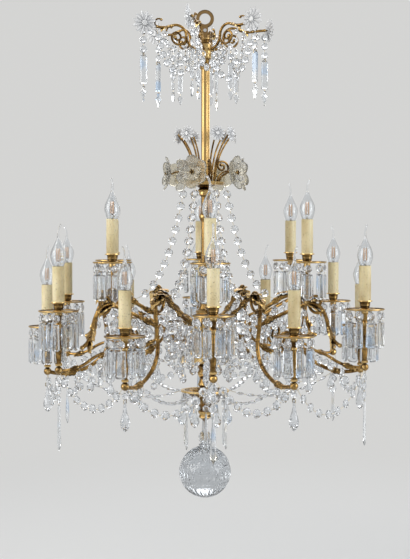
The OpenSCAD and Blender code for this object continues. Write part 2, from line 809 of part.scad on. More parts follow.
module candle_cups() {
  color(gilt) for (light = lights) on_light(light) difference() {
    rotate_extrude() polygon([[0, -cup_h], [12, -cup_h], [12.5, -cup_h + 2], [10.5, -cup_h + 3.5],
      [10.5, -cup_h + 7], [11.2, -cup_h + 7.5], [12, -3.4], [cup_r, -2], [cup_r, 0], [0, 0]]);
    translate([0, 0, -cup_h - 1]) cylinder(d = nipple_d + 2 * fit, h = cup_h + 2);
  }
}

module lampholders() {
  color(steel) for (light = lights) on_light(light) difference() {
    cylinder(r = holder_r, h = holder_h);
    translate([0, 0, -1]) cylinder(d = nipple_d + 2 * fit, h = 12);
    translate([0, 0, cap_low - 2]) cylinder(r = cap_r + fit, h = holder_h);
  }
}

module candle_sleeves() {
  color(ivory) for (light = lights) on_light(light) difference() {
    cylinder(d = sleeve_d, h = sleeve_l);
    translate([0, 0, -1]) cylinder(d = sleeve_d - 2 * sleeve_wall, h = sleeve_l + 2);
  }
}

module bulb_caps() {
  color(steel) for (light = lights) on_light(light) translate([0, 0, cap_low]) {
    cylinder(r = cap_r, h = cap_high - cap_low);
    translate([0, 0, -1.5]) cylinder(r = 3, h = 1.5);
  }
}

// Flame bulb: swells to its widest at a third of its height, then draws out to a bent tip
bulb_steps = 12;
tip_d = 4.4;
tip_u = 0.78;
bulb_foot = cap_high + seat;
bulb_body = (sleeve_l + bulb_h - bulb_foot) * tip_u;
hollow_low = 0.04;
hollow_high = 0.88;
tip_step = 137;
function bulb_r(u) = u < 0.3 ? cap_r + 1 + (bulb_d / 2 - cap_r - 1) * sin(90 * u / 0.3)
  : tip_d / 2 + (bulb_d / 2 - tip_d / 2) * (1 + cos(180 * (u - 0.3) / (tip_u - 0.3))) / 2;

// Turned body between two shares of the bulb's height, drawn in by the given wall
module bulb_core(low_u, high_u, wall) {
  rows = [for (i = [0:bulb_steps]) low_u + (high_u - low_u) * i / bulb_steps];
  rotate_extrude() polygon(concat([[0, bulb_body * low_u]],
    [for (u = rows) [bulb_r(u * tip_u) - wall, bulb_body * u]], [[0, bulb_body * high_u]]));
}

// The tips bend to a different side from one bulb to the next
module bulb_glass() {
  bend_r = 34;
  bend_a = 34;
  tip_end = bend_r * [sin(bend_a), 1 - cos(bend_a)];
  color(clear_glass) for (k = [0:len(lights) - 1]) on_light(lights[k]) translate([0, 0, bulb_foot])
    difference() {
      union() {
        bulb_core(0, 1, 0);
        translate([0, 0, bulb_body]) sphere(r = ball_r(tip_d));
        rotate([0, 0, k * tip_step]) upright() translate([0, bulb_body]) rotate(90) {
          arc(bend_r, bend_a, 1, tip_d, asin(hair / bend_r));
          translate(tip_end) sphere(r = ball_r(tip_d));
        }
      }
      bulb_core(hollow_low, hollow_high, glass_t);
    }
}

// Glass mount with a post and four filament sticks between two discs
led_n = 4;
led_d = 2;
led_r = 4.6;
led_l = 32;
mount_h = 12;
disc_r = led_r + led_d / 2 + 0.4;
disc_h = 1;

module bulb_filaments() {
  color(amber) for (light = lights) on_light(light)
    translate([0, 0, bulb_foot + bulb_body * hollow_low + seat]) union() {
      cylinder(d = 4, h = mount_h);
      cylinder(d = 1.4, h = mount_h + led_l + 3 * disc_h);
      for (z = [mount_h, mount_h + disc_h + led_l]) translate([0, 0, z]) cylinder(r = disc_r, h = disc_h);
      for (a = [1:led_n]) rotate(a * 360 / led_n) translate([led_r, 0, mount_h + disc_h / 2])
        cylinder(d = led_d, h = led_l + disc_h);
    }
}

// Crystals round the pans

module round_pans(kind) {
  for (light = lights) on_light(light) for (j = [0:light[4] - 1])
    rotate((j + 0.5) * 360 / light[4]) translate([hang_r, 0, pan_foot]) rotate([0, 0, 90]) upright() {
      if (kind == "bead") string_beads(rim_bead_d, 1);
      if (kind == "wire") string_wires(rim_bead_d, 2);
      if (kind == "plaque") translate([0, -string_l(rim_bead_d, 1) - plaque_pitch, 0])
        plaque(j % 2 == 0 ? plaque_w : sliver_w);
    }
}

module pan_prisms() {
  color(crystal) round_pans("plaque");
}

module pan_beads() {
  color(crystal) round_pans("bead");
}

module pan_wires() {
  color(gilt) round_pans("wire");
}

// Chains, swags and the drops under the arms

chain_n = 10;
chain_ease = 1.035;
chain_faces_out = [true, false, true, true, false, true];
swag_n = 8;
swag_ease = 1.26;
inner_swag_n = 9;
inner_swag_ease = 1.04;
function chain(i) = garland(at(collar_r + wire_gap, low_t(i), collar_z + 2),
  at(low_shoulder[0], low_t(i), low_shoulder[1] + ball_r(arm_d) + wire_gap), chain_n, chain_ease);

// Knop n of the ring of twelve: middle and low lights in turn
function knop_turn(n) = n % 2 == 0 ? mid_t(n / 2 % 6) : low_t((n - 1) / 2 % 6);
function knop_r(n) = n % 2 == 0 ? mid_r : low_r;
function knop_z(n) = n % 2 == 0 ? mid_knop_z : low_knop_z;
function swag(n) = garland(knop_eye(knop_r(n), knop_turn(n), knop_z(n), 1),
  knop_eye(knop_r(n + 1), knop_turn(n + 1), knop_z(n + 1), -1), swag_n, swag_ease);
function inner_swag(i) = garland(at(bowl_r + wire_gap, low_t(i), bowl_z - 2),
  at(low_route[6][0], low_t(i), low_route[6][1] - ball_r(arm_d) - wire_gap), inner_swag_n, inner_swag_ease);

module chain_beads() {
  color(crystal) for (i = tiers) garland_beads(chain(i), chain_bead_d, chain_faces_out[i]);
}

// What hangs straight down from a height at reach r and turn t, its faces looking outwards
module hung(r, t, z) {
  placed(at(r, t, z), t + 90) upright() children();
}

// Strings of rosettes: one under each main arm's arch, two with a pear under each low arm's shoulder
rosette_t = 16;
arch_hook = on_bend(high_route[1], high_route[2], bend_end(high_route[0], high_route[1], 0), 0.34);
arch_hook_z = arch_hook[1] - ball_r(arm_d);
shoulder_hook_z = low_shoulder[1] - ball_r(arm_d) - 2 * seat;

tear_l = 64;
tear_w = 22;
mid_hang_z = mid_knop_z - knop_d / 2;
low_hang_z = low_knop_z - knop_d / 2;
tear_staple_z = low_hang_z - string_l(tear_bead_d, 1) - seat;
bottom_hang_r = bowl_r - 4;
bottom_hang_z = bowl_z - 4;

module swag_beads() {
  color(crystal) {
    for (n = [0:11]) garland_beads(swag(n), chain_bead_d);
    for (i = tiers) {
      garland_beads(inner_swag(i), chain_bead_d, true);
      hung(arch_hook[0], mid_t(i), arch_hook_z) on_string(rosette_d, 1) rosette(rosette_d, rosette_t);
      hung(low_shoulder[0], low_t(i), shoulder_hook_z) {
        on_string(rosette_d, 2) rosette(rosette_d, rosette_t);
        translate([0, -string_l(rosette_d, 2) - plaque_pitch, 0]) pear(42, 20);
      }
      hung(mid_r, mid_t(i), mid_hang_z) string_beads(rim_bead_d, 3);
      hung(low_r, low_t(i), low_hang_z) string_beads(tear_bead_d, 1);
      hung(bottom_hang_r, mid_t(i), bottom_hang_z) string_beads(rim_bead_d, 2);
      hung(bottom_hang_r, low_t(i), bottom_hang_z) string_beads(rim_bead_d, 1);
    }
  }
}

module garland_wires() {
  color(gilt) {
    for (n = [0:11]) garland_links(swag(n), chain_bead_d);
    for (i = tiers) {
      garland_links(chain(i), chain_bead_d);
      garland_links(inner_swag(i), chain_bead_d);
      hung(arch_hook[0], mid_t(i), arch_hook_z) string_wires(rosette_d, 1);
      hung(low_shoulder[0], low_t(i), shoulder_hook_z) string_wires(rosette_d, 3);
      hung(mid_r, mid_t(i), mid_hang_z) string_wires(rim_bead_d, 4);
      hung(low_r, low_t(i), low_hang_z) string_wires(tear_bead_d, 1);
      hung(low_r, low_t(i), tear_staple_z) staple();
      hung(bottom_hang_r, mid_t(i), bottom_hang_z) string_wires(rim_bead_d, 3);
      hung(bottom_hang_r, low_t(i), bottom_hang_z) string_wires(rim_bead_d, 2);
    }
  }
}

module tear_drop(i) {
  color(crystal) hung(low_r, low_t(i), hung_z(tear_staple_z)) drilled() pear(tear_l, tear_w);
}

module tear_drop_1() { tear_drop(0); }
module tear_drop_2() { tear_drop(1); }
module tear_drop_3() { tear_drop(2); }
module tear_drop_4() { tear_drop(3); }
module tear_drop_5() { tear_drop(4); }
module tear_drop_6() { tear_drop(5); }

// Top of a drop under n rim beads and the wire that follows them
function below_string(z, n) = z - string_l(rim_bead_d, n) - plaque_pitch;

module bottom_drops() {
  color(crystal) for (i = tiers) {
    hung(mid_r, mid_t(i), below_string(mid_hang_z, 3)) spear(100, 15);
    hung(bottom_hang_r, mid_t(i), below_string(bottom_hang_z, 2)) spear(88, 12);
    hung(bottom_hang_r, low_t(i), below_string(bottom_hang_z, 1)) pear(54, 24);
  }
}

// Bottom

module bottom_bowl() {
  h = hub_foot_z - bowl_foot_z;
  lip = bowl_z - bowl_foot_z;
  color(gilt) translate([0, 0, bowl_foot_z]) difference() {
    rotate_extrude() polygon([[0, 0], [15, 0], [17, 5], [11, 10], [14, 18], [26, 30], [42, lip - 8],
      [bowl_r - 8, lip - 4], [bowl_r, lip - 4], [bowl_r, lip], [bowl_r - 8, lip], [40, lip - 4], [22, 36],
      [14, 38], [12, lip + 6], [17, lip + 12], [12, h - 8], [16, h], [0, h]]);
    rod_bore(0, h);
  }
}

knob_r = 16;
pivot_d = 3;
eye_t = 5;

module finial_hook() {
  foot = ball_pin_z + 4;
  color(gilt) difference() {
    union() {
      translate([0, 0, bowl_foot_z - nut_h]) rotate_extrude()
        polygon([[0, 0], [4, 0], [8, 4], [15, 9], [13, nut_h - 4], [13, nut_h], [0, nut_h]]);
      translate([0, 0, foot - 1]) cylinder(d = 4, h = bowl_foot_z - nut_h - foot + 2);
      translate([0, 0, ball_pin_z]) rotate([90, 0, 0]) cylinder(d = 10, h = eye_t, center = true);
    }
    translate([0, 0, bowl_foot_z - nut_h / 2 - seat]) cylinder(d = rod_d + 2 * fit, h = nut_h);
    translate([0, 0, ball_pin_z]) rotate([90, 0, 0]) cylinder(d = pivot_d + 2 * fit, h = 20, center = true);
  }
}

module crystal_ball() {
  neck_z = ball_pin_z - knob_r + 2;
  color(crystal) difference() {
    union() {
      translate([0, 0, ball_pin_z]) sphere(r = knob_r);
      translate([0, 0, neck_z - 10]) cylinder(r = 12, h = 12);
      translate([0, 0, neck_z - 4]) cylinder(r = 15, h = 3);
      translate([0, 0, neck_z - 6 - ball_d / 2]) sphere(d = ball_d);
    }
    translate([0, 0, ball_pin_z]) rotate([90, 0, 0])
      cylinder(d = pivot_d + 2 * fit, h = 4 * knob_r, center = true);
    translate([-8, -eye_t / 2 - seat, ball_pin_z - 8]) cube([16, eye_t + 2 * seat, 40]);
  }
}

module ball_pin() {
  color(gilt) translate([0, 0, ball_pin_z]) rotate([90, 0, 0])
    cylinder(d = pivot_d, h = 2 * knob_r, center = true);
}

hanging_ring();
ring_pin();
top_cap();
centre_rod();
stem_tube();
supply_lead();
crown_hub();
crown_arms();
crown_stars();
crown_beads();
crown_wires();
crown_drop_1();
crown_drop_2();
crown_drop_3();
crown_drop_4();
crown_drop_5();
crown_drop_6();
bouquet_collar();
bouquet_stems();
bouquet_stars();
bouquet_roses();
chain_beads();
swag_beads();
garland_wires();
hub_column();
arm_hub();
main_arm_1();
main_arm_2();
main_arm_3();
main_arm_4();
main_arm_5();
main_arm_6();
low_arm_1();
low_arm_2();
low_arm_3();
low_arm_4();
low_arm_5();
low_arm_6();
candle_stems();
drip_pans();
candle_cups();
lampholders();
candle_sleeves();
bulb_glass();
bulb_caps();
bulb_filaments();
pan_prisms();
pan_beads();
pan_wires();
tear_drop_1();
tear_drop_2();
tear_drop_3();
tear_drop_4();
tear_drop_5();
tear_drop_6();
bottom_bowl();
finial_hook();
bottom_drops();
crystal_ball();
ball_pin();
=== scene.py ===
"""Looks for the eighteen-light chandelier: cut crystals, gilding, leaves, candles and bulbs on the CAD frame."""
import json
import math

import bmesh
import bpy
import numpy as np
from mathutils import Matrix, Vector


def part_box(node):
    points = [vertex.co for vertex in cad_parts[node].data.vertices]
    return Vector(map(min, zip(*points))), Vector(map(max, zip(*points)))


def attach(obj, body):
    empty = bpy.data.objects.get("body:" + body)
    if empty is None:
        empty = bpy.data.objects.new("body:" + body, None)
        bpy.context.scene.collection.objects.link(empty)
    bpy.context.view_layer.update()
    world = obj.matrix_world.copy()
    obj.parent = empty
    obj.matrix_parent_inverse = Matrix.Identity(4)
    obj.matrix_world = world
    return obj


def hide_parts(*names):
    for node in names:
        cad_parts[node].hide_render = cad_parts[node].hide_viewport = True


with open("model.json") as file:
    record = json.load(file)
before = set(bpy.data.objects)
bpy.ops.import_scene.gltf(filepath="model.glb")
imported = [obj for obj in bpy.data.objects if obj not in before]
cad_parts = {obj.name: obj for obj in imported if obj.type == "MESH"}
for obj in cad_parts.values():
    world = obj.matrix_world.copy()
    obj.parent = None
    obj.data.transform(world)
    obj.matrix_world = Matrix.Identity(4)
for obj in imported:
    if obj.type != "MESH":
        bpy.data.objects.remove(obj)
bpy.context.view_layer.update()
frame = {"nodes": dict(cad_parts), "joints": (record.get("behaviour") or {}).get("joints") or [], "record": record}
NODES = frame["nodes"]

MM = 0.001
STEP = 60                           # degrees between the arms of a tier
ARM_TURN = 2.5
MID_STRAY = (0, 4, 1, 0, 0, 2.5)
LOW_STRAY = (-2, 0, 2, 0, 2, 0.5)
MID_TURNS = [ARM_TURN + STEP * i + MID_STRAY[i] for i in range(6)]
LOW_TURNS = [ARM_TURN + STEP * (i + 0.5) + LOW_STRAY[i] for i in range(6)]
CROWN_TURNS = [-11 + STEP * i for i in range(6)]
ROSE_TURNS = (-80, -19, 55, 104, 160, 220)

LOW_Z = -1.125                      # foot of the ball
FLOOR_Z = LOW_Z - 0.32
PALE = (0.66, 0.66, 0.65, 1)


# Camera, floor and light

def look(position, target):
    return (Vector(target) - Vector(position)).to_track_quat("-Z", "Y").to_euler()


def make_camera():
    eye = Vector((0, -2.9, -0.511))
    pitch = 0.034
    aim = eye + Vector((0, math.cos(pitch), -math.sin(pitch)))
    data = bpy.data.cameras.new("camera")
    data.sensor_width = 36
    data.lens = 79.35
    data.clip_end = 60
    camera = bpy.data.objects.new("camera", data)
    camera.location = eye
    camera.rotation_euler = look(eye, aim)
    bpy.context.scene.collection.objects.link(camera)
    bpy.context.scene.camera = camera


def add_lamp(name, position, target, size, power, tint=(1, 1, 1)):
    data = bpy.data.lights.new(name, "AREA")
    data.shape = "RECTANGLE"
    data.size, data.size_y = size
    data.energy = power
    data.color = tint
    lamp = bpy.data.objects.new(name, data)
    lamp.location = position
    lamp.rotation_euler = look(position, target)
    bpy.context.scene.collection.objects.link(lamp)


def seen_factor(tree):
    """1 for what the camera, a reflection or a refraction sees, 0 for light that falls on a matt surface."""
    path = tree.nodes.new("ShaderNodeLightPath")
    total = path.outputs["Is Camera Ray"]
    for name in ("Is Glossy Ray", "Is Transmission Ray"):
        add = tree.nodes.new("ShaderNodeMath")
        add.operation = "MAXIMUM"
        tree.links.new(total, add.inputs[0])
        tree.links.new(path.outputs[name], add.inputs[1])
        total = add.outputs[0]
    return total


def make_world():
    world = bpy.data.worlds.new("studio")
    bpy.context.scene.world = world
    world.use_nodes = True
    tree = world.node_tree
    tree.nodes.clear()
    out = tree.nodes.new("ShaderNodeOutputWorld")
    mix = tree.nodes.new("ShaderNodeMixShader")
    light = tree.nodes.new("ShaderNodeBackground")
    light.inputs["Color"].default_value = (0.93, 0.96, 1, 1)
    light.inputs["Strength"].default_value = 0.3
    seen = tree.nodes.new("ShaderNodeBackground")
    seen.inputs["Color"].default_value = PALE
    seen.inputs["Strength"].default_value = 1
    tree.links.new(seen_factor(tree), mix.inputs[0])
    tree.links.new(light.outputs[0], mix.inputs[1])
    tree.links.new(seen.outputs[0], mix.inputs[2])
    tree.links.new(mix.outputs[0], out.inputs[0])


def make_floor():
    """A wide pale floor that keeps the shadow near the middle and runs into the background further out."""
    material = bpy.data.materials.new("floor")
    material.use_nodes = True
    tree = material.node_tree
    tree.nodes.clear()
    out = tree.nodes.new("ShaderNodeOutputMaterial")
    matt = tree.nodes.new("ShaderNodeBsdfDiffuse")
    matt.inputs["Color"].default_value = (0.8, 0.8, 0.79, 1)
    plain = tree.nodes.new("ShaderNodeEmission")
    plain.inputs["Color"].default_value = PALE
    place = tree.nodes.new("ShaderNodeNewGeometry")
    length = tree.nodes.new("ShaderNodeVectorMath")
    length.operation = "LENGTH"
    tree.links.new(place.outputs["Position"], length.inputs[0])
    ramp = tree.nodes.new("ShaderNodeMapRange")
    ramp.inputs["From Min"].default_value = 1.7
    ramp.inputs["From Max"].default_value = 2.9
    tree.links.new(length.outputs["Value"], ramp.inputs["Value"])
    both = tree.nodes.new("ShaderNodeMath")
    both.operation = "MULTIPLY"
    tree.links.new(ramp.outputs[0], both.inputs[0])
    tree.links.new(seen_factor(tree), both.inputs[1])
    mix = tree.nodes.new("ShaderNodeMixShader")
    tree.links.new(both.outputs[0], mix.inputs[0])
    tree.links.new(matt.outputs[0], mix.inputs[1])
    tree.links.new(plain.outputs[0], mix.inputs[2])
    tree.links.new(mix.outputs[0], out.inputs[0])
    mesh = bpy.data.meshes.new("floor")
    mesh.from_pydata([(-14, -14, FLOOR_Z), (14, -14, FLOOR_Z), (14, 14, FLOOR_Z), (-14, 14, FLOOR_Z)], [], [(0, 1, 2, 3)])
    floor = bpy.data.objects.new("floor", mesh)
    floor.data.materials.append(material)
    bpy.context.scene.collection.objects.link(floor)


# Materials

class Shader:
    """A principled material and short ways to feed it from noise."""

    def __init__(self, name, **values):
        self.material = bpy.data.materials.new(name)
        self.material.use_nodes = True
        self.tree = self.material.node_tree
        self.bsdf = self.tree.nodes["Principled BSDF"]
        for key, value in values.items():
            self.bsdf.inputs[key.replace("_", " ")].default_value = value
        self.place = self.tree.nodes.new("ShaderNodeTexCoord").outputs["Object"]

    def noise(self, scale, detail=3, rough=0.5, stretch=None):
        node = self.tree.nodes.new("ShaderNodeTexNoise")
        node.inputs["Scale"].default_value = scale
        node.inputs["Detail"].default_value = detail
        node.inputs["Roughness"].default_value = rough
        place = self.place
        if stretch:
            mapping = self.tree.nodes.new("ShaderNodeMapping")
            mapping.inputs["Scale"].default_value = stretch
            self.tree.links.new(place, mapping.inputs["Vector"])
            place = mapping.outputs[0]
        self.tree.links.new(place, node.inputs["Vector"])
        return node.outputs["Fac"]

    def ramp(self, source, stops):
        node = self.tree.nodes.new("ShaderNodeValToRGB")
        elements = node.color_ramp.elements
        while len(elements) < len(stops):
            elements.new(0.5)
        for element, (at, colour) in zip(elements, stops):
            element.position = at
            element.color = (*colour, 1)
        self.tree.links.new(source, node.inputs[0])
        return node.outputs["Color"]

    def spread(self, source, low, high, start=0.3, end=0.7):
        node = self.tree.nodes.new("ShaderNodeMapRange")
        node.inputs["From Min"].default_value = start
        node.inputs["From Max"].default_value = end
        node.inputs["To Min"].default_value = low
        node.inputs["To Max"].default_value = high
        self.tree.links.new(source, node.inputs["Value"])
        return node.outputs[0]

    def mix(self, factor, a, b, kind="MIX"):
        node = self.tree.nodes.new("ShaderNodeMix")
        node.data_type = "RGBA"
        node.blend_type = kind
        for socket, value in zip((node.inputs[0], node.inputs[6], node.inputs[7]), (factor, a, b)):
            if isinstance(value, (int, float)):
                socket.default_value = value
            elif isinstance(value, tuple):
                socket.default_value = (*value, 1)
            else:
                self.tree.links.new(value, socket)
        return node.outputs[2]

    def hollows(self, distance, samples=4):
        """1 on open surfaces, less in corners and hollows."""
        node = self.tree.nodes.new("ShaderNodeAmbientOcclusion")
        node.samples = samples
        node.inputs["Distance"].default_value = distance
        return node.outputs["AO"]

    def edges(self):
        """About 0.5 on flat surfaces and more on outer edges."""
        return self.tree.nodes.new("ShaderNodeNewGeometry").outputs["Pointiness"]

    def bump(self, source, strength, distance):
        node = self.tree.nodes.new("ShaderNodeBump")
        node.inputs["Strength"].default_value = strength
        node.inputs["Distance"].default_value = distance
        self.tree.links.new(source, node.inputs["Height"])
        self.tree.links.new(node.outputs[0], self.bsdf.inputs["Normal"])

    def feed(self, key, source):
        self.tree.links.new(source, self.bsdf.inputs[key])


def gilt_material(name, bright, dull, dark, rubbed_and_highlight_tone, rough, shade_reach=0.02, grain=26):
    """Old gilding: brown in soft patches, darkened in the hollows with painted shade, rubbed bright on the edges
    (partly wear, partly a painted highlight), with fine dark pits.
    """
    shader = Shader(name, Metallic=1.0)
    patches = shader.noise(grain, 5, 0.62)
    gold = shader.ramp(patches, [(0.38, dull), (0.5, tuple((a + b) / 2 for a, b in zip(dull, bright))), (0.63, bright)])
    pits = shader.ramp(shader.noise(380, 3, 0.6), [(0.33, (0, 0, 0)), (0.43, (1, 1, 1))])
    gold = shader.mix(pits, dark, gold)
    # Painted shade: the colour turns to the dark tone in corners and hollows, where shade falls.
    painted_shade = shader.spread(shader.hollows(shade_reach), 0, 1, 0.42, 0.92)
    gold = shader.mix(painted_shade, dark, gold)
    # Rubbed wear and a painted highlight: outer edges take a lighter tone.
    edge = shader.spread(shader.edges(), 0, 0.9, 0.52, 0.58)
    shader.feed("Base Color", shader.mix(edge, gold, rubbed_and_highlight_tone))
    shader.feed("Roughness", shader.spread(patches, rough + 0.16, rough - 0.04))
    shader.bump(shader.noise(300, 4, 0.55), 0.22, 0.0004)
    return shader.material


def crystal_material(name, tint, ior=1.58, grime=0.035, milk=1.0, play=False, groove=None):
    """Lead glass with a little dust. milk is the share of light that goes through, play a bluish and a warm part
    painted in as colour fire, groove a colour for painted shade in the hollows.
    """
    shader = Shader(name, Base_Color=(*tint, 1), IOR=ior)
    dust = shader.noise(90, 4, 0.6)
    shader.feed("Transmission Weight", shader.spread(dust, milk, milk - 0.05, 0.4, 0.8))
    if play:
        # Painted colour fire: bluish and warm tints stand in for the colours that dispersion throws in cut glass.
        blue, warm = tuple(c * k for c, k in zip(tint, (0.74, 0.88, 1.06))), tuple(c * k for c, k in zip(tint, (1.03, 0.97, 0.86)))
        shader.feed("Base Color", shader.ramp(shader.noise(22, 1, 0.4), [(0.3, blue), (0.42, tint), (0.6, tint), (0.72, warm)]))
        shader.feed("Roughness", shader.spread(dust, 0.0, grime, 0.45, 0.8))
        return shader.material
    colour = shader.ramp(dust, [(0.25, tuple(c * 0.95 for c in tint)), (0.6, tint)])
    if groove:
        # Painted shade: the colour turns dark in the grooves and hollows, where shade falls.
        colour = shader.mix(shader.spread(shader.hollows(0.005), 0, 1, 0.6, 0.9), groove, colour)
    shader.feed("Base Color", colour)
    shader.feed("Roughness", shader.spread(dust, 0.0, grime, 0.45, 0.8))
    return shader.material


def frosted_material():
    """Blown glass of the roses: milky where it is ground and engraved, clear between, darkened in the hollows with
    painted shade.
    """
    shader = Shader("engraved_glass", Base_Color=(0.96, 0.97, 0.97, 1), IOR=1.52)
    ground = shader.noise(120, 5, 0.6)
    shader.feed("Transmission Weight", shader.spread(ground, 0.7, 0.97))
    shader.feed("Roughness", shader.spread(ground, 0.32, 0.08))
    clear = shader.ramp(shader.noise(9, 2, 0.5), [(0.42, (0.92, 0.86, 0.7)), (0.56, (0.96, 0.97, 0.97))])
    # Painted shade: the base colour darkens in the grooves and hollows.
    painted_shade = shader.spread(shader.hollows(0.006), 0, 1, 0.3, 0.9)
    shader.feed("Base Color", shader.mix(painted_shade, (0.62, 0.58, 0.48), clear))
    shader.bump(shader.noise(420, 3, 0.6), 0.1, 0.0003)
    return shader.material


def bulb_material():
    shader = Shader("blown_glass", Base_Color=(0.9, 0.915, 0.93, 1), Transmission_Weight=1.0, IOR=1.5)
    swirl = shader.noise(30, 3, 0.5, (1, 1, 0.3))
    shader.feed("Roughness", shader.spread(swirl, 0.0, 0.02))
    shader.bump(swirl, 0.1, 0.0006)
    return shader.material


def candle_material():
    shader = Shader("candle_ivory", Roughness=0.42)
    shader.bsdf.inputs["Subsurface Weight"].default_value = 0.12
    shader.bsdf.inputs["Subsurface Radius"].default_value = (0.01, 0.006, 0.003)
    stain = shader.noise(26, 4, 0.55, (1, 1, 0.35))
    base = shader.ramp(stain, [(0.28, (0.48, 0.36, 0.16)), (0.5, (0.74, 0.63, 0.37)), (0.75, (0.87, 0.78, 0.53))])
    specks = shader.ramp(shader.noise(330, 4, 0.7), [(0.34, (1, 1, 1)), (0.41, (0, 0, 0))])
    shader.feed("Base Color", shader.mix(specks, base, (0.25, 0.17, 0.07)))
    shader.feed("Roughness", shader.spread(stain, 0.52, 0.36))
    shader.bump(shader.noise(60, 3, 0.5, (1, 1, 0.2)), 0.5, 0.0012)
    return shader.material


def filament_material():
    shader = Shader("filament_amber", Roughness=0.4)
    grain = shader.noise(900, 2, 0.5)
    colour = shader.ramp(grain, [(0.35, (0.6, 0.34, 0.18)), (0.65, (0.78, 0.52, 0.32))])
    shader.feed("Base Color", colour)
    # Painted glow: the filament gives off a faint light of its own, though no lamp is in the bulb.
    shader.feed("Emission Color", colour)
    shader.bsdf.inputs["Emission Strength"].default_value = 0.12
    return shader.material


def steel_material():
    shader = Shader("zinc_steel", Metallic=1.0)
    brushed = shader.noise(300, 4, 0.6, (1, 1, 0.1))
    shader.feed("Base Color", shader.ramp(brushed, [(0.3, (0.42, 0.42, 0.43)), (0.7, (0.66, 0.66, 0.66))]))
    shader.feed("Roughness", shader.spread(brushed, 0.4, 0.26))
    shader.bump(brushed, 0.2, 0.0003)
    return shader.material


GILT = gilt_material("gilt_bronze", (0.46, 0.275, 0.085), (0.1, 0.052, 0.016), (0.01, 0.006, 0.003), (0.85, 0.6, 0.26), 0.18,
                     grain=55)
RUBBED = gilt_material("rubbed_gilding", (0.33, 0.2, 0.068), (0.22, 0.13, 0.042), (0.05, 0.028, 0.01), (0.55, 0.37, 0.15),
                       0.19, 0.01, 9)
PAN = gilt_material("pan_gilding", (0.22, 0.125, 0.04), (0.1, 0.055, 0.02), (0.013, 0.007, 0.003), (0.55, 0.37, 0.15), 0.24)
OLD = gilt_material("old_bronze", (0.08, 0.048, 0.022), (0.035, 0.02, 0.009), (0.012, 0.007, 0.004), (0.26, 0.165, 0.07), 0.3)
WIRE = gilt_material("pin_wire", (0.42, 0.36, 0.25), (0.25, 0.2, 0.13), (0.08, 0.06, 0.04), (0.6, 0.52, 0.38), 0.3)
STEEL = steel_material()
CRYSTAL = crystal_material("cut_crystal", (0.84, 0.86, 0.885), milk=0.93)
BLADES = crystal_material("blade_crystal", (0.86, 0.88, 0.9), milk=0.95, play=True)
# The groove colour is painted shade for the hollows of the stars.
PRESSED = crystal_material("pressed_crystal", (0.975, 0.98, 0.985), grime=0.2, milk=0.3, groove=(0.1, 0.11, 0.13))
BALL_GLASS = crystal_material("ball_crystal", (0.62, 0.65, 0.685), milk=0.97)
FROSTED = frosted_material()
BULB = bulb_material()
CANDLE = candle_material()
AMBER = filament_material()
BY_SLOT = {"gilt_bronze": GILT, "old_bronze": OLD, "steel": STEEL, "crystal": CRYSTAL, "bulb_glass": BULB,
           "candle": CANDLE, "filament": AMBER}
BY_NODE = {"stem_tube": RUBBED, "hub_column": RUBBED, "drip_pans": PAN, "crown_wires": WIRE, "garland_wires": WIRE,
           "pan_wires": WIRE}


def dress_frame():
    slots = {part["node"]: part["material_slot"] for part in frame["record"]["subparts"]}
    for name, node in NODES.items():
        node.data.materials.clear()
        node.data.materials.append(BY_NODE.get(name) or BY_SLOT[slots[name]])


# Where the CAD's loose crystals are

def islands(name):
    """The points of each separate crystal of a node, one array each."""
    mesh = NODES[name].data
    points = np.empty(len(mesh.vertices) * 3)
    mesh.vertices.foreach_get("co", points)
    points = points.reshape(-1, 3)
    unique, index = np.unique(np.round(points * 2e5).astype(np.int64), axis=0, return_inverse=True)
    index = index.reshape(-1)
    parent = list(range(len(unique)))

    def root(a):
        while parent[a] != a:
            parent[a] = parent[parent[a]]
            a = parent[a]
        return a

    for polygon in mesh.polygons:
        corners = [index[v] for v in polygon.vertices]
        for other in corners[1:]:
            a, b = root(corners[0]), root(other)
            if a != b:
                parent[a] = b
    groups = {}
    for i in range(len(unique)):
        groups.setdefault(root(i), []).append(i)
    return [unique[group] / 2e5 for group in groups.values()]


def plate(points):
    """A flat crystal's centre, normal, thickness and outline, seen as a prism."""
    centre = (points.min(0) + points.max(0)) / 2
    values, axes = np.linalg.eigh(np.cov((points - points.mean(0)).T))
    normal = axes[:, 0]
    across = (points - centre) @ normal
    middle = centre + normal * (across.max() + across.min()) / 2
    thickness = across.max() - across.min()
    face = points[across > across.max() - thickness * 0.1]
    u = axes[:, 2]
    v = np.cross(normal, u)
    flat = np.stack([(face - middle) @ u, (face - middle) @ v], 1)
    flat = flat[np.argsort(np.arctan2(flat[:, 1] - flat[:, 1].mean(), flat[:, 0] - flat[:, 0].mean()))]
    return middle, u, v, normal, thickness, flat


# Cut crystals, made in flat coordinates and set in their CAD places

class Cutter:
    """Collects the crystals of one node into one mesh."""

    def __init__(self):
        self.points = []
        self.faces = []

    def add(self, points, faces):
        start = len(self.points)
        self.points.extend([tuple(p) for p in points])
        self.faces.extend([tuple(start + i for i in face) for face in faces])

    def build(self, name, body, node=None, material=None, slot="crystal", smooth=False):
        mesh = bpy.data.meshes.new(name)
        mesh.from_pydata(self.points, [], self.faces)
        mesh.validate()
        mesh.update()
        tool = bmesh.new()
        tool.from_mesh(mesh)
        bmesh.ops.recalc_face_normals(tool, faces=tool.faces)
        tool.to_mesh(mesh)
        tool.free()
        for polygon in mesh.polygons:
            polygon.use_smooth = smooth
        piece = bpy.data.objects.new(name, mesh)
        piece.data.materials.append(material or CRYSTAL)
        bpy.context.scene.collection.objects.link(piece)
        if node:
            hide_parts(node)
        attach(piece, body)
        return piece


def banded(n, rings):
    """Faces between rings of n points, and a table at each end."""
    faces = [tuple(range(n))[::-1], tuple(range((rings - 1) * n, rings * n))]
    for k in range(rings - 1):
        for i in range(n):
            j = (i + 1) % n
            faces.append((k * n + i, k * n + j, (k + 1) * n + j, (k + 1) * n + i))
    return faces


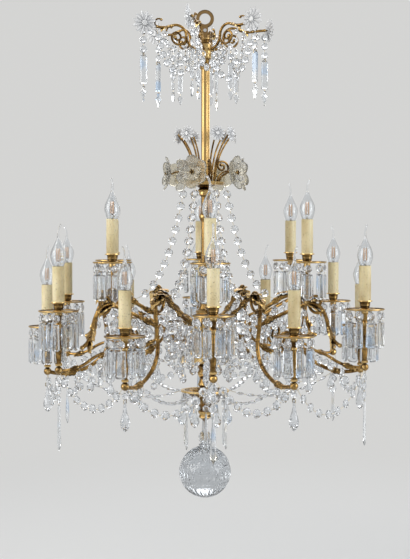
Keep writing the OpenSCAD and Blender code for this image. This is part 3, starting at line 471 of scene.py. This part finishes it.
def kited(n, twists):
    """As banded, but rings that are half a step apart meet in triangles. twists says which rings are moved."""
    faces = [tuple(range(n))[::-1], tuple(range((len(twists) - 1) * n, len(twists) * n))]
    for k in range(len(twists) - 1):
        for i in range(n):
            j = (i + 1) % n
            a, b, c, d = k * n + i, k * n + j, (k + 1) * n + i, (k + 1) * n + j
            if twists[k] == twists[k + 1]:
                faces.append((a, b, d, c))
            elif twists[k + 1]:
                faces += [(a, b, c), (b, d, c)]
            else:
                faces += [(a, b, d), (a, d, c)]
    return faces


def regular(n, radius, phase=0.0):
    return np.array([[radius * math.cos(phase + 2 * math.pi * i / n), radius * math.sin(phase + 2 * math.pi * i / n)]
                     for i in range(n)])


BRILLIANT = ((-0.5, 0.42, False), (-0.34, 0.76, True), (-0.09, 0.985, False), (0.09, 0.985, False),
             (0.34, 0.76, True), (0.5, 0.42, False))


def cut_brilliant(cutter, middle, u, v, normal, t, flat):
    """Flat round crystal with a thin girdle, a ring of kites and a small table on each face."""
    cloud = []
    for height, share, twist in BRILLIANT:
        ring = (flat + np.roll(flat, -1, 0)) / 2 if twist else flat
        cloud += [middle + u * p[0] * share + v * p[1] * share + normal * height * t for p in ring]
    cutter.add(cloud, kited(len(flat), [twist for _, _, twist in BRILLIANT]))


def inset(flat, by):
    """The outline moved inwards by the same distance on every side."""
    n = len(flat)
    area = sum(flat[i][0] * flat[(i + 1) % n][1] - flat[(i + 1) % n][0] * flat[i][1] for i in range(n))
    sign = 1 if area > 0 else -1
    out = []
    for i in range(n):
        before, here, after = flat[i - 1], flat[i], flat[(i + 1) % n]
        a = (here - before) / np.linalg.norm(here - before)
        b = (after - here) / np.linalg.norm(after - here)
        na, nb = np.array([-a[1], a[0]]) * sign, np.array([-b[1], b[0]]) * sign
        out.append(here + by * (na + nb) / (1 + max(-0.6, na @ nb)))
    return np.array(out)


def cut_plate(cutter, middle, u, v, normal, t, flat, bevel):
    """Flat crystal with ground bevels round a table on both faces."""
    inner = inset(flat, bevel)
    rings = [(-0.5, inner), (-0.12, flat * 0.995), (0.12, flat * 0.995), (0.5, inner)]
    cutter.add([middle + u * p[0] + v * p[1] + normal * h * t for h, ring in rings for p in ring],
               banded(len(flat), len(rings)))


DROP_ROWS = ((0.0, 0.2), (0.08, 0.28), (0.2, 0.3), (0.36, 0.46), (0.52, 0.74), (0.66, 0.93), (0.76, 0.98), (0.86, 0.8),
             (0.94, 0.5), (1.0, 0.12))


def cut_drop(cutter, points, sides=10):
    """Hanging drop cut in rows of diamonds: a slim neck, a round belly and a pointed foot."""
    low, high = points.min(0), points.max(0)
    middle = (low + high) / 2
    reach = min(high[0] - low[0], high[1] - low[1]) / 2
    cloud = []
    for k, (down, share) in enumerate(DROP_ROWS):
        for i in range(sides):
            a = 2 * math.pi * (i + 0.5 * (k % 2)) / sides
            cloud.append((middle[0] + reach * share * math.cos(a), middle[1] + reach * share * math.sin(a),
                          high[2] - (high[2] - low[2]) * down))
    cutter.add(cloud, kited(sides, [k % 2 == 1 for k in range(len(DROP_ROWS))]))


def hull(flat):
    """Outline of flat points, anticlockwise."""
    rows = sorted({(round(float(x), 6), round(float(y), 6)) for x, y in flat})

    def half(rows):
        out = []
        for p in rows:
            while len(out) > 1 and ((out[-1][0] - out[-2][0]) * (p[1] - out[-2][1])
                                    - (out[-1][1] - out[-2][1]) * (p[0] - out[-2][0])) < 2e-9:
                out.pop()
            out.append(p)
        return out[:-1]

    return np.array(half(rows) + half(rows[::-1]))


def cut_crystal(cutter, points, bevel=0.0035):
    """The cut form of one CAD crystal: a bead, a rosette, a drop or a flat plaque."""
    spans = np.ptp(points, 0)
    middle, u, v, normal, t, flat = plate(points)
    width = np.ptp(points @ np.cross(normal, (0, 0, 1)))
    if len(points) > 60 and spans[2] > 1.5 * t and t > 0.75 * width:
        cut_drop(cutter, points)
    elif len(points) > 60 and spans[2] < 0.03:
        cut_brilliant(cutter, middle, u, v, normal, t, regular(12, (spans[2]) / 2))
    elif 10 <= len(points) <= 20 and spans.max() < 0.0235:
        cut_brilliant(cutter, middle, u, v, normal, t, flat)
    else:
        if len(points) > 20:
            flat = hull(flat)
        cut_plate(cutter, middle, u, v, normal, t, flat, min(bevel, 0.3 * sorted(spans)[1]))


def cut_node(name, body="frame"):
    cutter = Cutter()
    for points in islands(name):
        cut_crystal(cutter, points)
    return cutter.build("cut_" + name, body, name, BLADES if name in ("pan_prisms", "bottom_drops") else CRYSTAL)


# Crystals that swing: each is drilled where its joint is

def rod_between(cutter, a, b, radius, sides=12):
    a, b = np.array(a), np.array(b)
    along = (b - a) / np.linalg.norm(b - a)
    u = np.cross(along, (0, 0, 1) if abs(along[2]) < 0.9 else (1, 0, 0))
    u /= np.linalg.norm(u)
    v = np.cross(along, u)
    cutter.add([p + u * x + v * y for p in (a, b) for x, y in regular(sides, radius)], banded(sides, 2))


def turned_between(cutter, a, b, profile, sides=12):
    """Turned piece between two points. Each row of the profile is a share of the way and a radius."""
    a, b = np.array(a), np.array(b)
    along = (b - a) / np.linalg.norm(b - a)
    u = np.cross(along, (0, 0, 1) if abs(along[2]) < 0.9 else (1, 0, 0))
    u /= np.linalg.norm(u)
    v = np.cross(along, u)
    cutter.add([a + (b - a) * share + u * x + v * y for share, radius in profile for x, y in regular(sides, radius)],
               banded(sides, len(profile)))


def drill(piece, centre, axis, radius, reach):
    """Cuts a round hole through a piece."""
    cutter = Cutter()
    axis = np.array(axis)
    rod_between(cutter, centre - axis * reach, centre + axis * reach, radius, 32)
    carve(piece, cutter)


def carve(piece, cutter):
    """Takes the cutter's closed forms out of a piece."""
    mesh = bpy.data.meshes.new("tool")
    mesh.from_pydata(cutter.points, [], cutter.faces)
    tool = bmesh.new()
    tool.from_mesh(mesh)
    bmesh.ops.recalc_face_normals(tool, faces=tool.faces)
    tool.to_mesh(mesh)
    tool.free()
    knife = bpy.data.objects.new("tool", mesh)
    bpy.context.scene.collection.objects.link(knife)
    modifier = piece.modifiers.new("cut", "BOOLEAN")
    modifier.operation = "DIFFERENCE"
    modifier.solver = "EXACT"
    modifier.object = knife
    bpy.context.view_layer.update()
    done = bpy.data.meshes.new_from_object(piece.evaluated_get(bpy.context.evaluated_depsgraph_get()))
    piece.modifiers.clear()
    old, piece.data = piece.data, done
    bpy.data.meshes.remove(old)
    bpy.data.objects.remove(knife)
    bpy.data.meshes.remove(mesh)


def joint(name):
    return next(j for j in frame["joints"] if j["name"] == name)


def cut_hanging_plate(cutter, points, normal, bevel=0.0026):
    """Blade or arrow head that hangs with its faces across a known direction."""
    normal = np.array(normal) / np.linalg.norm(normal)
    up = np.array([0, 0, 1.0])
    side = np.cross(normal, up)
    middle = (points.min(0) + points.max(0)) / 2
    across = (points - middle) @ normal
    flat = np.stack([(points - middle) @ side, (points - middle) @ up], 1)
    if len(points) > 20:
        flat = hull(flat)
    else:
        flat = np.array(sorted({(round(float(x), 6), round(float(y), 6)) for x, y in flat},
                               key=lambda p: math.atan2(p[1], p[0])))
    cut_plate(cutter, middle, side, up, normal, np.ptp(across), flat, bevel)


def hanging_crystals():
    """The crown's pendants and the pears under the low lights, each with its hole and, on a pendant, its pin."""
    for kind in ("crown_drop", "tear_drop"):
        for i in range(1, 7):
            name = f"{kind}_{i}"
            swing = joint(name + "_swing")
            cutter = Cutter()
            pins = Cutter()
            for points in islands(name):
                spans = np.ptp(points, 0)
                if max(spans[0], spans[1]) < 0.002:
                    middle = points.mean(0)
                    rod_between(pins, (middle[0], middle[1], points[:, 2].min()),
                                (middle[0], middle[1], points[:, 2].max()), 0.0006)
                elif kind == "crown_drop":
                    cut_hanging_plate(cutter, points, swing["axis"])
                else:
                    cut_crystal(cutter, points)
            piece = cutter.build("cut_" + name, name, name, BLADES if kind == "crown_drop" else CRYSTAL)
            drill(piece, np.array(swing["pos_m"]), swing["axis"], 0.00101, 0.02)
            if pins.points:
                pins.build("pin_" + name, name, material=GILT, slot="gilt_bronze")


# Flowers of glass

def star_side(side, reach, peak, petals):
    """Rings of one face of a star flower: per petal a boss, a groove, a ridge and shoulders down to the tip."""
    half = math.pi / petals
    rows = []
    for i in range(petals):
        a = 2 * half * i

        def at(share, angle, height):
            return (reach * share * math.cos(angle), reach * share * math.sin(angle), side * peak * height)

        rows.append([at(0.1, a, 1), at(0.1, a + half, 1), at(0.19, a, 0.94), at(0.19, a + half, 0.94),
                     at(0.25, a, 0.66), at(0.25, a + half, 0.4), at(0.66, a, 0.54), at(0.65, a + half, 0.1),
                     at(0.82, a - half * 0.62, 0.12), at(0.82, a + half * 0.62, 0.12), at(1, a, 0.08)])
    return rows


def cut_star(cutter, points, petals=12):
    middle = points.mean(0)
    values, axes = np.linalg.eigh(np.cov((points - middle).T))
    normal = axes[:, 0]
    peak = abs((points - middle) @ normal).max()
    flat = (points - middle) - np.outer((points - middle) @ normal, normal)
    lengths = np.linalg.norm(flat, axis=1)
    u = flat[lengths.argmax()] / lengths.max()
    v = np.cross(normal, u)
    per = 11
    cloud, faces = [], []
    for side, share in ((1, 1), (-1, 0.9)):
        start = len(cloud)
        for row in star_side(side, lengths.max() * 0.995, peak * share, petals):
            cloud += [middle + u * p[0] + v * p[1] + normal * p[2] for p in row]
        boss = []
        for i in range(petals):
            c, d = start + i * per, start + (i + 1) % petals * per
            boss += [c, c + 1]
            faces += [(c, c + 2, c + 3, c + 1), (c + 1, c + 3, d + 2, d), (c + 2, c + 4, c + 5, c + 3),
                      (c + 3, c + 5, d + 4, d + 2), (c + 4, c + 6, c + 7, c + 5), (c + 5, c + 7, d + 6, d + 4),
                      (c + 6, c + 9, c + 7), (c + 6, c + 10, c + 9), (d + 6, c + 7, d + 8), (d + 6, d + 8, d + 10)]
        faces.append(tuple(boss))
    far = petals * per
    for i in range(petals):
        c, d = i * per, (i + 1) % petals * per
        for a, b in ((c + 10, c + 9), (c + 9, c + 7), (c + 7, d + 8), (d + 8, d + 10)):
            faces.append((a, b, far + b, far + a))
    cutter.add(cloud, faces)


def glass_stars():
    for name in ("crown_stars", "bouquet_stars"):
        cutter = Cutter()
        for points in islands(name):
            cut_star(cutter, points)
        cutter.build("cut_" + name, "frame", name, PRESSED)


def placed(r, turn, z):
    """The frame at a place round the stem: its x looks outwards and its z up."""
    a = math.radians(turn)
    return Matrix.Translation((r * math.sin(a), -r * math.cos(a), z)) @ Matrix.Rotation(a - math.pi / 2, 4, "Z")


def rose_bowl(cutter, place, petals, ring, petal, bowl, thick, phase=0.0, around=96, rows=9):
    """Blown bowl with scalloped petals: engraved rays on each, a groove between them and a thinner rolled rim."""
    cloud = []
    for face in (0, 1):
        for k in range(rows + 1):
            share = (k / rows) ** 0.85
            for i in range(around):
                a = 2 * math.pi * i / around
                off = (a - phase + math.pi / petals) % (2 * math.pi / petals) - math.pi / petals
                reach = ring * math.cos(off) + math.sqrt(max(0, petal ** 2 - (ring * math.sin(off)) ** 2))
                if ring * abs(math.sin(off)) > petal:
                    reach = ring
                r = 1.7 + (reach - 0.2 - 1.7) * share
                low = bowl + thick - math.sqrt((bowl + thick) ** 2 - r * r)
                high = bowl + thick - math.sqrt(bowl ** 2 - r * r)
                edge = 1 - abs(off) * petals / math.pi
                groove = 1.3 * math.exp(-(edge / 0.14) ** 2) * min(1, 2 * share)
                rays = 0.34 * math.cos(around / 4 * a) * math.sin(math.pi * min(1, share * 1.1))
                rim = 0.55 * max(0, share - 0.85) / 0.15
                z = high - groove - rays - rim if face else low + rim
                cloud.append(place @ Vector((r * math.cos(a) * MM, r * math.sin(a) * MM, z * MM)))
    n = around * (rows + 1)
    faces = []
    for i in range(around):
        j = (i + 1) % around
        for k in range(rows):
            a, b, c, d = k * around + i, k * around + j, (k + 1) * around + i, (k + 1) * around + j
            faces += [(a, b, d, c), (n + a, n + c, n + d, n + b)]
        last = rows * around
        faces += [(i, n + i, n + j, j), (last + i, last + j, n + last + j, n + last + i)]
    cutter.add(cloud, faces)


def rose_boss(cutter, place, radius=4.4, lobes=4, around=32):
    """Small dark lobed cap on the screw that holds a rose."""
    rows = ((1, 0), (1.06, 0.5), (0.9, 1.3), (0.5, 1.8), (0.3, 2.6), (0.12, 2.9))
    cloud = []
    for share, height in rows:
        for i in range(around):
            a = 2 * math.pi * i / around
            r = radius * share * (1 + 0.16 * math.cos(lobes * a) * share)
            cloud.append(place @ Vector((r * math.cos(a) * MM, r * math.sin(a) * MM, height * MM)))
    cutter.add(cloud, banded(around, len(rows)))


def glass_roses():
    bowls, bosses = Cutter(), Cutter()
    for turn in ROSE_TURNS:
        place = placed(0.078, turn, -0.362) @ Matrix.Rotation(math.radians(86), 4, "Y") @ Matrix.Translation(
            (0, 0, 2.62 * MM))
        rose_bowl(bowls, place, 6, 22.62, 16.38, 64, 3)
        rose_bowl(bowls, place @ Matrix.Translation((0, 0, 7 * MM)), 5, 11.7, 10.14, 40, 3, math.radians(30), 96, 6)
        rose_boss(bosses, place @ Matrix.Translation((0, 0, 13.1 * MM)))
    bowls.build("blown_roses", "frame", "bouquet_roses", FROSTED, smooth=True)
    bosses.build("rose_caps", "frame", material=OLD, slot="old_bronze", smooth=True)


# The filaments in the bulbs

STICKS = 4
STICK_FOOT, STICK_TOP = (0.0044, 0.0145), (0.0034, 0.0425)      # distance from the bulb's axis and height over its foot


def bulb_fittings():
    """Glass mount with a flared foot and a button, fine lead wires and four filament sticks in every bulb."""
    sticks, mounts, leads = Cutter(), Cutter(), Cutter()
    for points in islands("bulb_filaments"):
        foot = (points.min(0) + points.max(0)) / 2
        foot[2] = points[:, 2].min()
        button = foot + (0, 0, 0.0135)
        top = foot + (0, 0, 0.0455)
        turned_between(mounts, foot, button, ((0, 0.0048), (0.12, 0.0044), (0.3, 0.0024), (0.75, 0.0017), (0.86, 0.0016),
                                              (0.92, 0.0024), (0.97, 0.0024), (1, 0.0014)), 20)
        turned_between(mounts, button, top, ((0, 0.0009), (0.3, 0.0006), (0.94, 0.0006), (0.97, 0.0013), (1, 0.0008)), 10)
        for i in range(STICKS):
            a = math.radians(22 + 360 / STICKS * i)
            out = np.array([math.cos(a), math.sin(a), 0])
            low, high = (foot + out * r + (0, 0, z) for r, z in (STICK_FOOT, STICK_TOP))
            turned_between(sticks, low, high, ((0, 0.00035), (0.03, 0.0004), (0.045, 0.00075), (0.955, 0.00075),
                                               (0.97, 0.0004), (1, 0.00035)))
            turned_between(leads, button - (0, 0, 0.0008), low + (0, 0, 0.0003), ((0, 0.0003), (0.5, 0.00022), (1, 0.0003)), 6)
            turned_between(leads, high - (0, 0, 0.0003), top - (0, 0, 0.001), ((0, 0.0003), (0.5, 0.00022), (1, 0.0003)), 6)
    sticks.build("filament_sticks", "frame", "bulb_filaments", AMBER, "filament", smooth=True)
    mounts.build("filament_mounts", "frame", material=BULB, slot="bulb_glass", smooth=True)
    leads.build("filament_leads", "frame", material=STEEL, slot="steel", smooth=True)


# The hanging ball

BALL_CUTS = 24                      # flutes and olives round the ball


def ball_cut(down, turn):
    """How deep the ball is cut, in mm, at an angle from its top and a turn, both in degrees."""
    share = (turn * BALL_CUTS / 360) % 1 - 0.5
    if down < 66 or down > 114:
        start, end = (12, 66) if down < 66 else (114, 168)
        along = min(1, max(0, (down - start) / (end - start)))
        ease = min(1, 6 * along, 6 * (1 - along))
        return 2.3 * ease * (1 - (2 * share) ** 2)
    if 76 < down < 104:
        reach = ((down - 90) / 13) ** 2 + (share / 0.42) ** 2
        return 2.8 * max(0, 1 - reach)
    row = (down - 71) if down < 90 else (down - 109)
    half = abs(((turn * BALL_CUTS / 180) % 1) - 0.5)
    return 0.7 * max(0, 1 - (row / 4.5) ** 2) * (1 - 2 * half)


def crystal_ball():
    """Ball with flutes above and below and a row of olive cuts round its middle, its collar and its split knob."""
    pin = np.array(joint("ball_swing")["pos_m"])
    low, high = np.array(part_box("crystal_ball"))
    radius = 0.061
    middle = np.array([0, 0, low[2] + radius])
    cutter = Cutter()
    rows, sides = 74, BALL_CUTS * 8
    cloud = []
    for k in range(rows):
        down = 3 + 174 * k / (rows - 1)
        for i in range(sides):
            turn = 360 * i / sides
            r = radius - ball_cut(down, turn) * MM
            a, b = math.radians(down), math.radians(turn)
            cloud.append(middle + r * np.array([math.sin(a) * math.cos(b), math.sin(a) * math.sin(b), math.cos(a)]))
    cutter.add(cloud, banded(sides, rows))
    ball = cutter.build("cut_ball", "ball", "crystal_ball", BALL_GLASS)

    def sphere_cloud(centre, r, rows, sides, top):
        cloud = []
        for k in range(rows):
            a = math.radians(top) + (math.pi - 2 * math.radians(top)) * k / (rows - 1)
            for i in range(sides):
                b = 2 * math.pi * (i + 0.5 * (k % 2)) / sides
                cloud.append(centre + r * np.array([math.sin(a) * math.cos(b), math.sin(a) * math.sin(b), math.cos(a)]))
        return cloud

    top = pin[2] - 0.014
    knob_r, sunk = 0.0158, 0.1          # the collar's dished faces bed by this many mm into the ball and the knob

    def on_ball(r):
        return (middle[2] + math.sqrt(radius ** 2 - (r * MM) ** 2) - top) / MM - sunk

    def under_knob(r):
        return (pin[2] - math.sqrt(knob_r ** 2 - (r * MM) ** 2) - top) / MM + sunk

    knob = Cutter()
    rows = [(r, on_ball(r)) for r in (1, 5, 9, 12)] + [(14.6, -3.6), (14.6, -1.6), (11, 0)]
    rows += [(r, under_knob(r)) for r in (7, 4, 1)]
    knob.add([(r * MM * math.cos(a), r * MM * math.sin(a), top + z * MM) for r, z in rows
              for a in [2 * math.pi * i / 16 for i in range(16)]], banded(16, len(rows)))
    knob.build("ball_collar", "ball")
    cutter = Cutter()
    cutter.add(sphere_cloud(pin, knob_r, 9, 14, 10), kited(14, [k % 2 for k in range(9)]))
    piece = cutter.build("ball_knob", "ball")
    slot = Cutter()
    w, d = 0.0085, 0.0028
    slot.add([(x, y, z) for z in (pin[2] - 0.0082, pin[2] + 0.03) for x, y in ((-w, -d), (w, -d), (w, d), (-w, d))],
             banded(4, 2))
    carve(piece, slot)
    drill(piece, pin, (0, 1, 0), 0.00158, 0.03)
    return ball


# Carved leaves over the arms' plain ones

def arm_place(turn):
    """From an arm's side view, x outwards and y up, to the model."""
    return Matrix.Rotation(math.radians(turn - 90), 4, "Z") @ Matrix.Rotation(math.pi / 2, 4, "X")


def local(x, y, lean):
    return Matrix.Translation((x * MM, y * MM, 0)) @ Matrix.Rotation(math.radians(lean), 4, "Z")


def acanthus(cutter, place, length, width, bend, thick, lobes=5, along=30, across=20):
    """Leaf on a curved blade: a raised midrib, a fold to each lobe, notched edges and a rolled tip."""
    cloud = []
    for face in (0, 1):
        for k in range(along + 1):
            u = k / along
            swell = math.sin(math.pi * min(1, u) ** 0.75) ** 0.7 if 0 < u < 1 else 0
            lobe = abs(math.cos(math.pi * lobes * u))
            half = width / 2 * swell * (0.66 + 0.34 * lobe)
            for m in range(across + 1):
                v = 2 * m / across - 1
                x = length * u
                y = -bend + math.sqrt((bend + thick / 2) ** 2 - x * x)
                rib = 1.3 * math.exp(-(v / 0.13) ** 2)
                fold = 1.1 * math.cos(2 * math.pi * (lobes * (u - 0.22 * abs(v)))) * min(1, 2.2 * abs(v)) * swell
                curl = -1.6 * abs(v) ** 3 + 3.2 * max(0, (u - 0.78) / 0.22) ** 2
                lift = (0.9 + rib + fold + curl) if face else -thick * 0.3
                cloud.append(place @ Vector((x * MM, (y + lift) * MM, v * (half + 0.3) * MM)))
    n = (along + 1) * (across + 1)
    faces = []
    for k in range(along):
        for m in range(across):
            a, b = k * (across + 1) + m, (k + 1) * (across + 1) + m
            faces += [(a, a + 1, b + 1, b), (n + a, n + b, n + b + 1, n + a + 1)]
        for m in (0, across):
            a, b = k * (across + 1) + m, (k + 1) * (across + 1) + m
            faces.append((a, b, n + b, n + a))
    for m in range(across):
        a, b = m, along * (across + 1) + m
        faces += [(a, n + a, n + a + 1, a + 1), (b, b + 1, n + b + 1, n + b)]
    cutter.add(cloud, faces)


def sheath(cutter, place, radius, length=30, width=14, lie=70, count=5):
    """Husk of small leaves that lie on the top and sides of a tube, open below."""
    for i in range(count):
        turn = (i - (count - 1) / 2) * lie
        acanthus(cutter, place @ Matrix.Rotation(math.radians(turn), 4, "X") @ Matrix.Translation(
            (0, (radius - 0.5) * MM, 0)), length, width, 150, 1.6, 3, 10, 6)


def tube_place(turn, crossing, r, step=3):
    """Where a tube's middle lies at a distance r, with x along the tube. crossing gives its lower and upper z."""
    low, high = crossing(r)
    before, after = sum(crossing(r - step)) / 2, sum(crossing(r + step)) / 2
    lean = math.degrees(math.atan2(after - before, 2 * step * MM))
    return arm_place(turn) @ local(r, (low + high) / 2 / MM, lean), (high - low) / 2 / MM * math.cos(math.radians(lean))


SHEATHS = (("main_arm", MID_TURNS, 0, (72, 142, 340)), ("main_arm", MID_TURNS, 2, (150, 200)),
           ("low_arm", LOW_TURNS, 0, (72, 122, 160)), ("low_arm", LOW_TURNS, 0, (300,)))


def tube_sheaths(cutter):
    for kind, turns, level, places in SHEATHS:
        for i, turn in enumerate(turns):
            shell = triangles(f"{kind}_{i + 1}")

            def crossing(r):
                return crossings(shell, *at(r, turn))[level:level + 2]

            for r in places:
                place, radius = tube_place(turn, crossing, r)
                sheath(cutter, place, radius)


def carved_leaves():
    cutter = Cutter()
    tube_sheaths(cutter)
    for turn in MID_TURNS:
        arm = arm_place(turn)
        acanthus(cutter, arm @ local(304, -715, -62), 50, 30, 74, 3.4)
        acanthus(cutter, arm @ local(250, -663, -4), 40, 24, 46, 3, 4)
    for turn in LOW_TURNS:
        arm = arm_place(turn)
        acanthus(cutter, arm @ local(215, -645, 4), 40, 30, 46, 3.4, 4)
        acanthus(cutter, arm @ local(206, -643, 34), 34, 26, 40, 3, 4)
        acanthus(cutter, arm @ local(208, -644, 158) @ Matrix.Rotation(math.pi, 4, "X"), 36, 26, 44, 3, 4)
    for turn in CROWN_TURNS:
        acanthus(cutter, arm_place(turn) @ local(80, -20, -8), 30, 18, 46, 2.4, 4)
    cutter.build("carved_leaves", "frame", material=GILT, slot="gilt_bronze", smooth=True)


# Further strings of crystals: the photograph's arms and crown carry more than the CAD's garlands

LINK = 5                            # mm of wire above each crystal
FLAT = {"a": (8, 8.5, 7.5), "b": (8, 9.8, 8), "c": (8, 7, 6.5), "R": (12, 12.5, 9)}   # corners, radius, thickness
DROPS = {"p": (38, 9), "d": (52, 7)}                                  # height and radius
BLADE = ((0, 2.5), (4, 6), (56, 6), (60, 2.5))                        # down and half width, then a gap and an arrow
ARROW = ((64, 1.5), (71, 6.5), (86, 0.6))
STRINGS = (
    ("main_arm", MID_TURNS, 0, ((62, "bRp"), (88, "bbb"), (130, "bbp"), (156, "bR"), (182, "bbd"), (208, "bbp"),
                                (234, "bb"), (258, "bRp"), (284, "bb"), (310, "bp"), (337, "bb"))),
    ("main_arm", MID_TURNS, 2, ((176, "cc"), (228, "aa"), (247, "ap"), (268, "aa"), (288, "a"))),
    ("low_arm", LOW_TURNS, 0, ((62, "bbbp"), (88, "bRp"), (113, "bbb"), (137, "bp"), (187, "aap"), (213, "bR"),
                               (246, "aa"), (304, "bb"), (331, "R"))),
    ("crown_arms", CROWN_TURNS, 0, ((30, "aa"), (48, "aa"), (78, "aaL"), (96, "cc"), (132, "c"))))


def triangles(name):
    mesh = NODES[name].data
    mesh.calc_loop_triangles()
    points = np.empty(len(mesh.vertices) * 3)
    mesh.vertices.foreach_get("co", points)
    corners = np.empty(len(mesh.loop_triangles) * 3, np.int32)
    mesh.loop_triangles.foreach_get("vertices", corners)
    return points.reshape(-1, 3)[corners].reshape(-1, 3, 3)


def crossings(shell, x, y):
    """Where an upright line through x, y meets a shell, from below."""
    a, b, c = shell[:, 0], shell[:, 1], shell[:, 2]
    area = (b[:, 1] - c[:, 1]) * (a[:, 0] - c[:, 0]) + (c[:, 0] - b[:, 0]) * (a[:, 1] - c[:, 1])
    wide = np.abs(area) > 1e-15
    area = np.where(wide, area, 1)
    u = ((b[:, 1] - c[:, 1]) * (x - c[:, 0]) + (c[:, 0] - b[:, 0]) * (y - c[:, 1])) / area
    v = ((c[:, 1] - a[:, 1]) * (x - c[:, 0]) + (a[:, 0] - c[:, 0]) * (y - c[:, 1])) / area
    inside = wide & (u >= 0) & (v >= 0) & (u + v <= 1)
    out = []
    for z in np.sort((u * a[:, 2] + v * b[:, 2] + (1 - u - v) * c[:, 2])[inside]):
        if not out or z - out[-1] > 5e-5:
            out.append(float(z))
    return out


def at(r, turn):
    """x and y of a place r mm from the stem."""
    a = math.radians(turn)
    return r * MM * math.sin(a), -r * MM * math.cos(a)


def flat_crystal(cutter, kind, middle, along, spin):
    """Bead or rosette with one corner along a direction, turned round it by spin."""
    corners, radius, t = FLAT[kind]
    along = np.array(along) / np.linalg.norm(along)
    side = np.cross(along, (0, 0, 1) if abs(along[2]) < 0.9 else (1, 0, 0))
    side /= np.linalg.norm(side)
    normal = side * math.cos(spin) + np.cross(along, side) * math.sin(spin)
    cut_brilliant(cutter, np.array(middle), along, np.cross(normal, along), normal, t * MM,
                  regular(corners, radius * MM))


def blade_and_arrow(cutter, wires, x, y, z, spin):
    """Long flat blade with bevelled edges and an arrow head below it."""
    normal = np.array([math.cos(spin), math.sin(spin), 0])
    side = np.array([-math.sin(spin), math.cos(spin), 0])
    for rows, t, bevel in ((BLADE, 6, 2.2), (ARROW, 6, 1.4)):
        middle = sum(down for down, _ in (rows[0], rows[-1])) / 2
        flat = [(half, middle - down) for down, half in rows] + [(-half, middle - down) for down, half in rows[::-1]]
        cut_plate(cutter, np.array([x, y, z - middle * MM]), side, np.array([0, 0, 1.0]), normal, t * MM,
                  np.array(flat) * MM, min(bevel, 0.5 * rows[-1][1] + 0.3) * MM)
    rod_between(wires, (x, y, z - 59 * MM), (x, y, z - 65 * MM), 0.4 * MM, 6)


def hung_string(crystals, wires, x, y, z, items, chance):
    for kind in items:
        rod_between(wires, (x, y, z + 0.6 * MM), (x, y, z - (LINK + 0.6) * MM), 0.4 * MM, 6)
        z -= LINK * MM
        if kind in FLAT:
            radius = FLAT[kind][1] * MM
            flat_crystal(crystals, kind, (x, y, z - radius), (0, 0, 1), chance.uniform(0, math.pi))
            z -= 2 * radius
        elif kind == "L":
            blade_and_arrow(crystals, wires, x, y, z, chance.uniform(0, math.pi))
        else:
            height, radius = DROPS[kind][0] * MM, DROPS[kind][1] * MM
            cut_drop(crystals, np.array([(x - radius, y - radius, z - height), (x + radius, y + radius, z)]))
            z -= height


def hung_chain(crystals, wires, start, end, sag, chance, kind="c", pitch=18.6):
    """Beads on a wire that sags between two places."""
    start, end = np.array(start), np.array(end)
    share = np.linspace(0, 1, 400)[:, None]
    line = start + (end - start) * share
    line[:, 2] -= sag * MM * 4 * (share * (1 - share))[:, 0]
    length = np.concatenate([[0], np.cumsum(np.linalg.norm(np.diff(line, axis=0), axis=1))])
    count = int((length[-1] / MM - 4) // pitch)

    def on(s):
        return np.array([np.interp(s, length, line[:, k]) for k in range(3)])

    reach = (FLAT[kind][1] - 0.4) * MM
    last = start
    for i in range(count):
        s = (i + 0.5) / count * length[-1]
        middle, along = on(s), on(s + MM) - on(s - MM)
        along /= np.linalg.norm(along)
        flat_crystal(crystals, kind, middle, along, chance.uniform(-0.5, 0.5) + math.pi / 2 * (i % 2))
        rod_between(wires, last, middle - along * reach, 0.4 * MM, 6)
        last = middle + along * reach
    rod_between(wires, last, end, 0.4 * MM, 6)


def further_strings():
    chance = np.random.default_rng(11)
    crystals, wires = Cutter(), Cutter()
    for kind, turns, level, rows in STRINGS:
        for i, turn in enumerate(turns):
            shell = triangles(kind if kind in NODES else f"{kind}_{i + 1}")
            for r, items in rows:
                x, y = at(r, turn)
                hung_string(crystals, wires, x, y, crossings(shell, x, y)[level], items, chance)
    for i in range(6):
        for j in (i, (i - 1) % 6):
            a, b = at(221, MID_TURNS[i]), at(228, LOW_TURNS[j])
            z_a = crossings(triangles(f"main_arm_{i + 1}"), *a)[0]
            z_b = crossings(triangles(f"low_arm_{j + 1}"), *b)[0]
            hung_chain(crystals, wires, (*a, z_a), (*b, z_b), 20, chance)
    crystals.build("string_crystals", "frame")
    wires.build("string_wires", "frame", material=WIRE, slot="gilt_bronze")


bpy.context.scene.view_settings.view_transform = "Standard"
make_camera()
make_world()
make_floor()
add_lamp("left", (-2.9, -1.5, 0.5), (0, 0, -0.55), (2.4, 3.0), 80, (1, 0.985, 0.96))
add_lamp("right", (2.9, -1.3, 0.1), (0, 0, -0.6), (2.0, 3.0), 62, (0.96, 0.98, 1))
add_lamp("front", (-0.9, -3.6, 2.2), (0, 0, -0.5), (2.2, 1.4), 26)
add_lamp("back", (0.6, 3.0, 1.6), (0, 0, -0.5), (3.4, 2.0), 60)
dress_frame()
for name in ("pan_beads", "pan_prisms", "chain_beads", "swag_beads", "crown_beads", "bottom_drops"):
    cut_node(name)
hanging_crystals()
glass_stars()
glass_roses()
bulb_fittings()
crystal_ball()
carved_leaves()
further_strings()
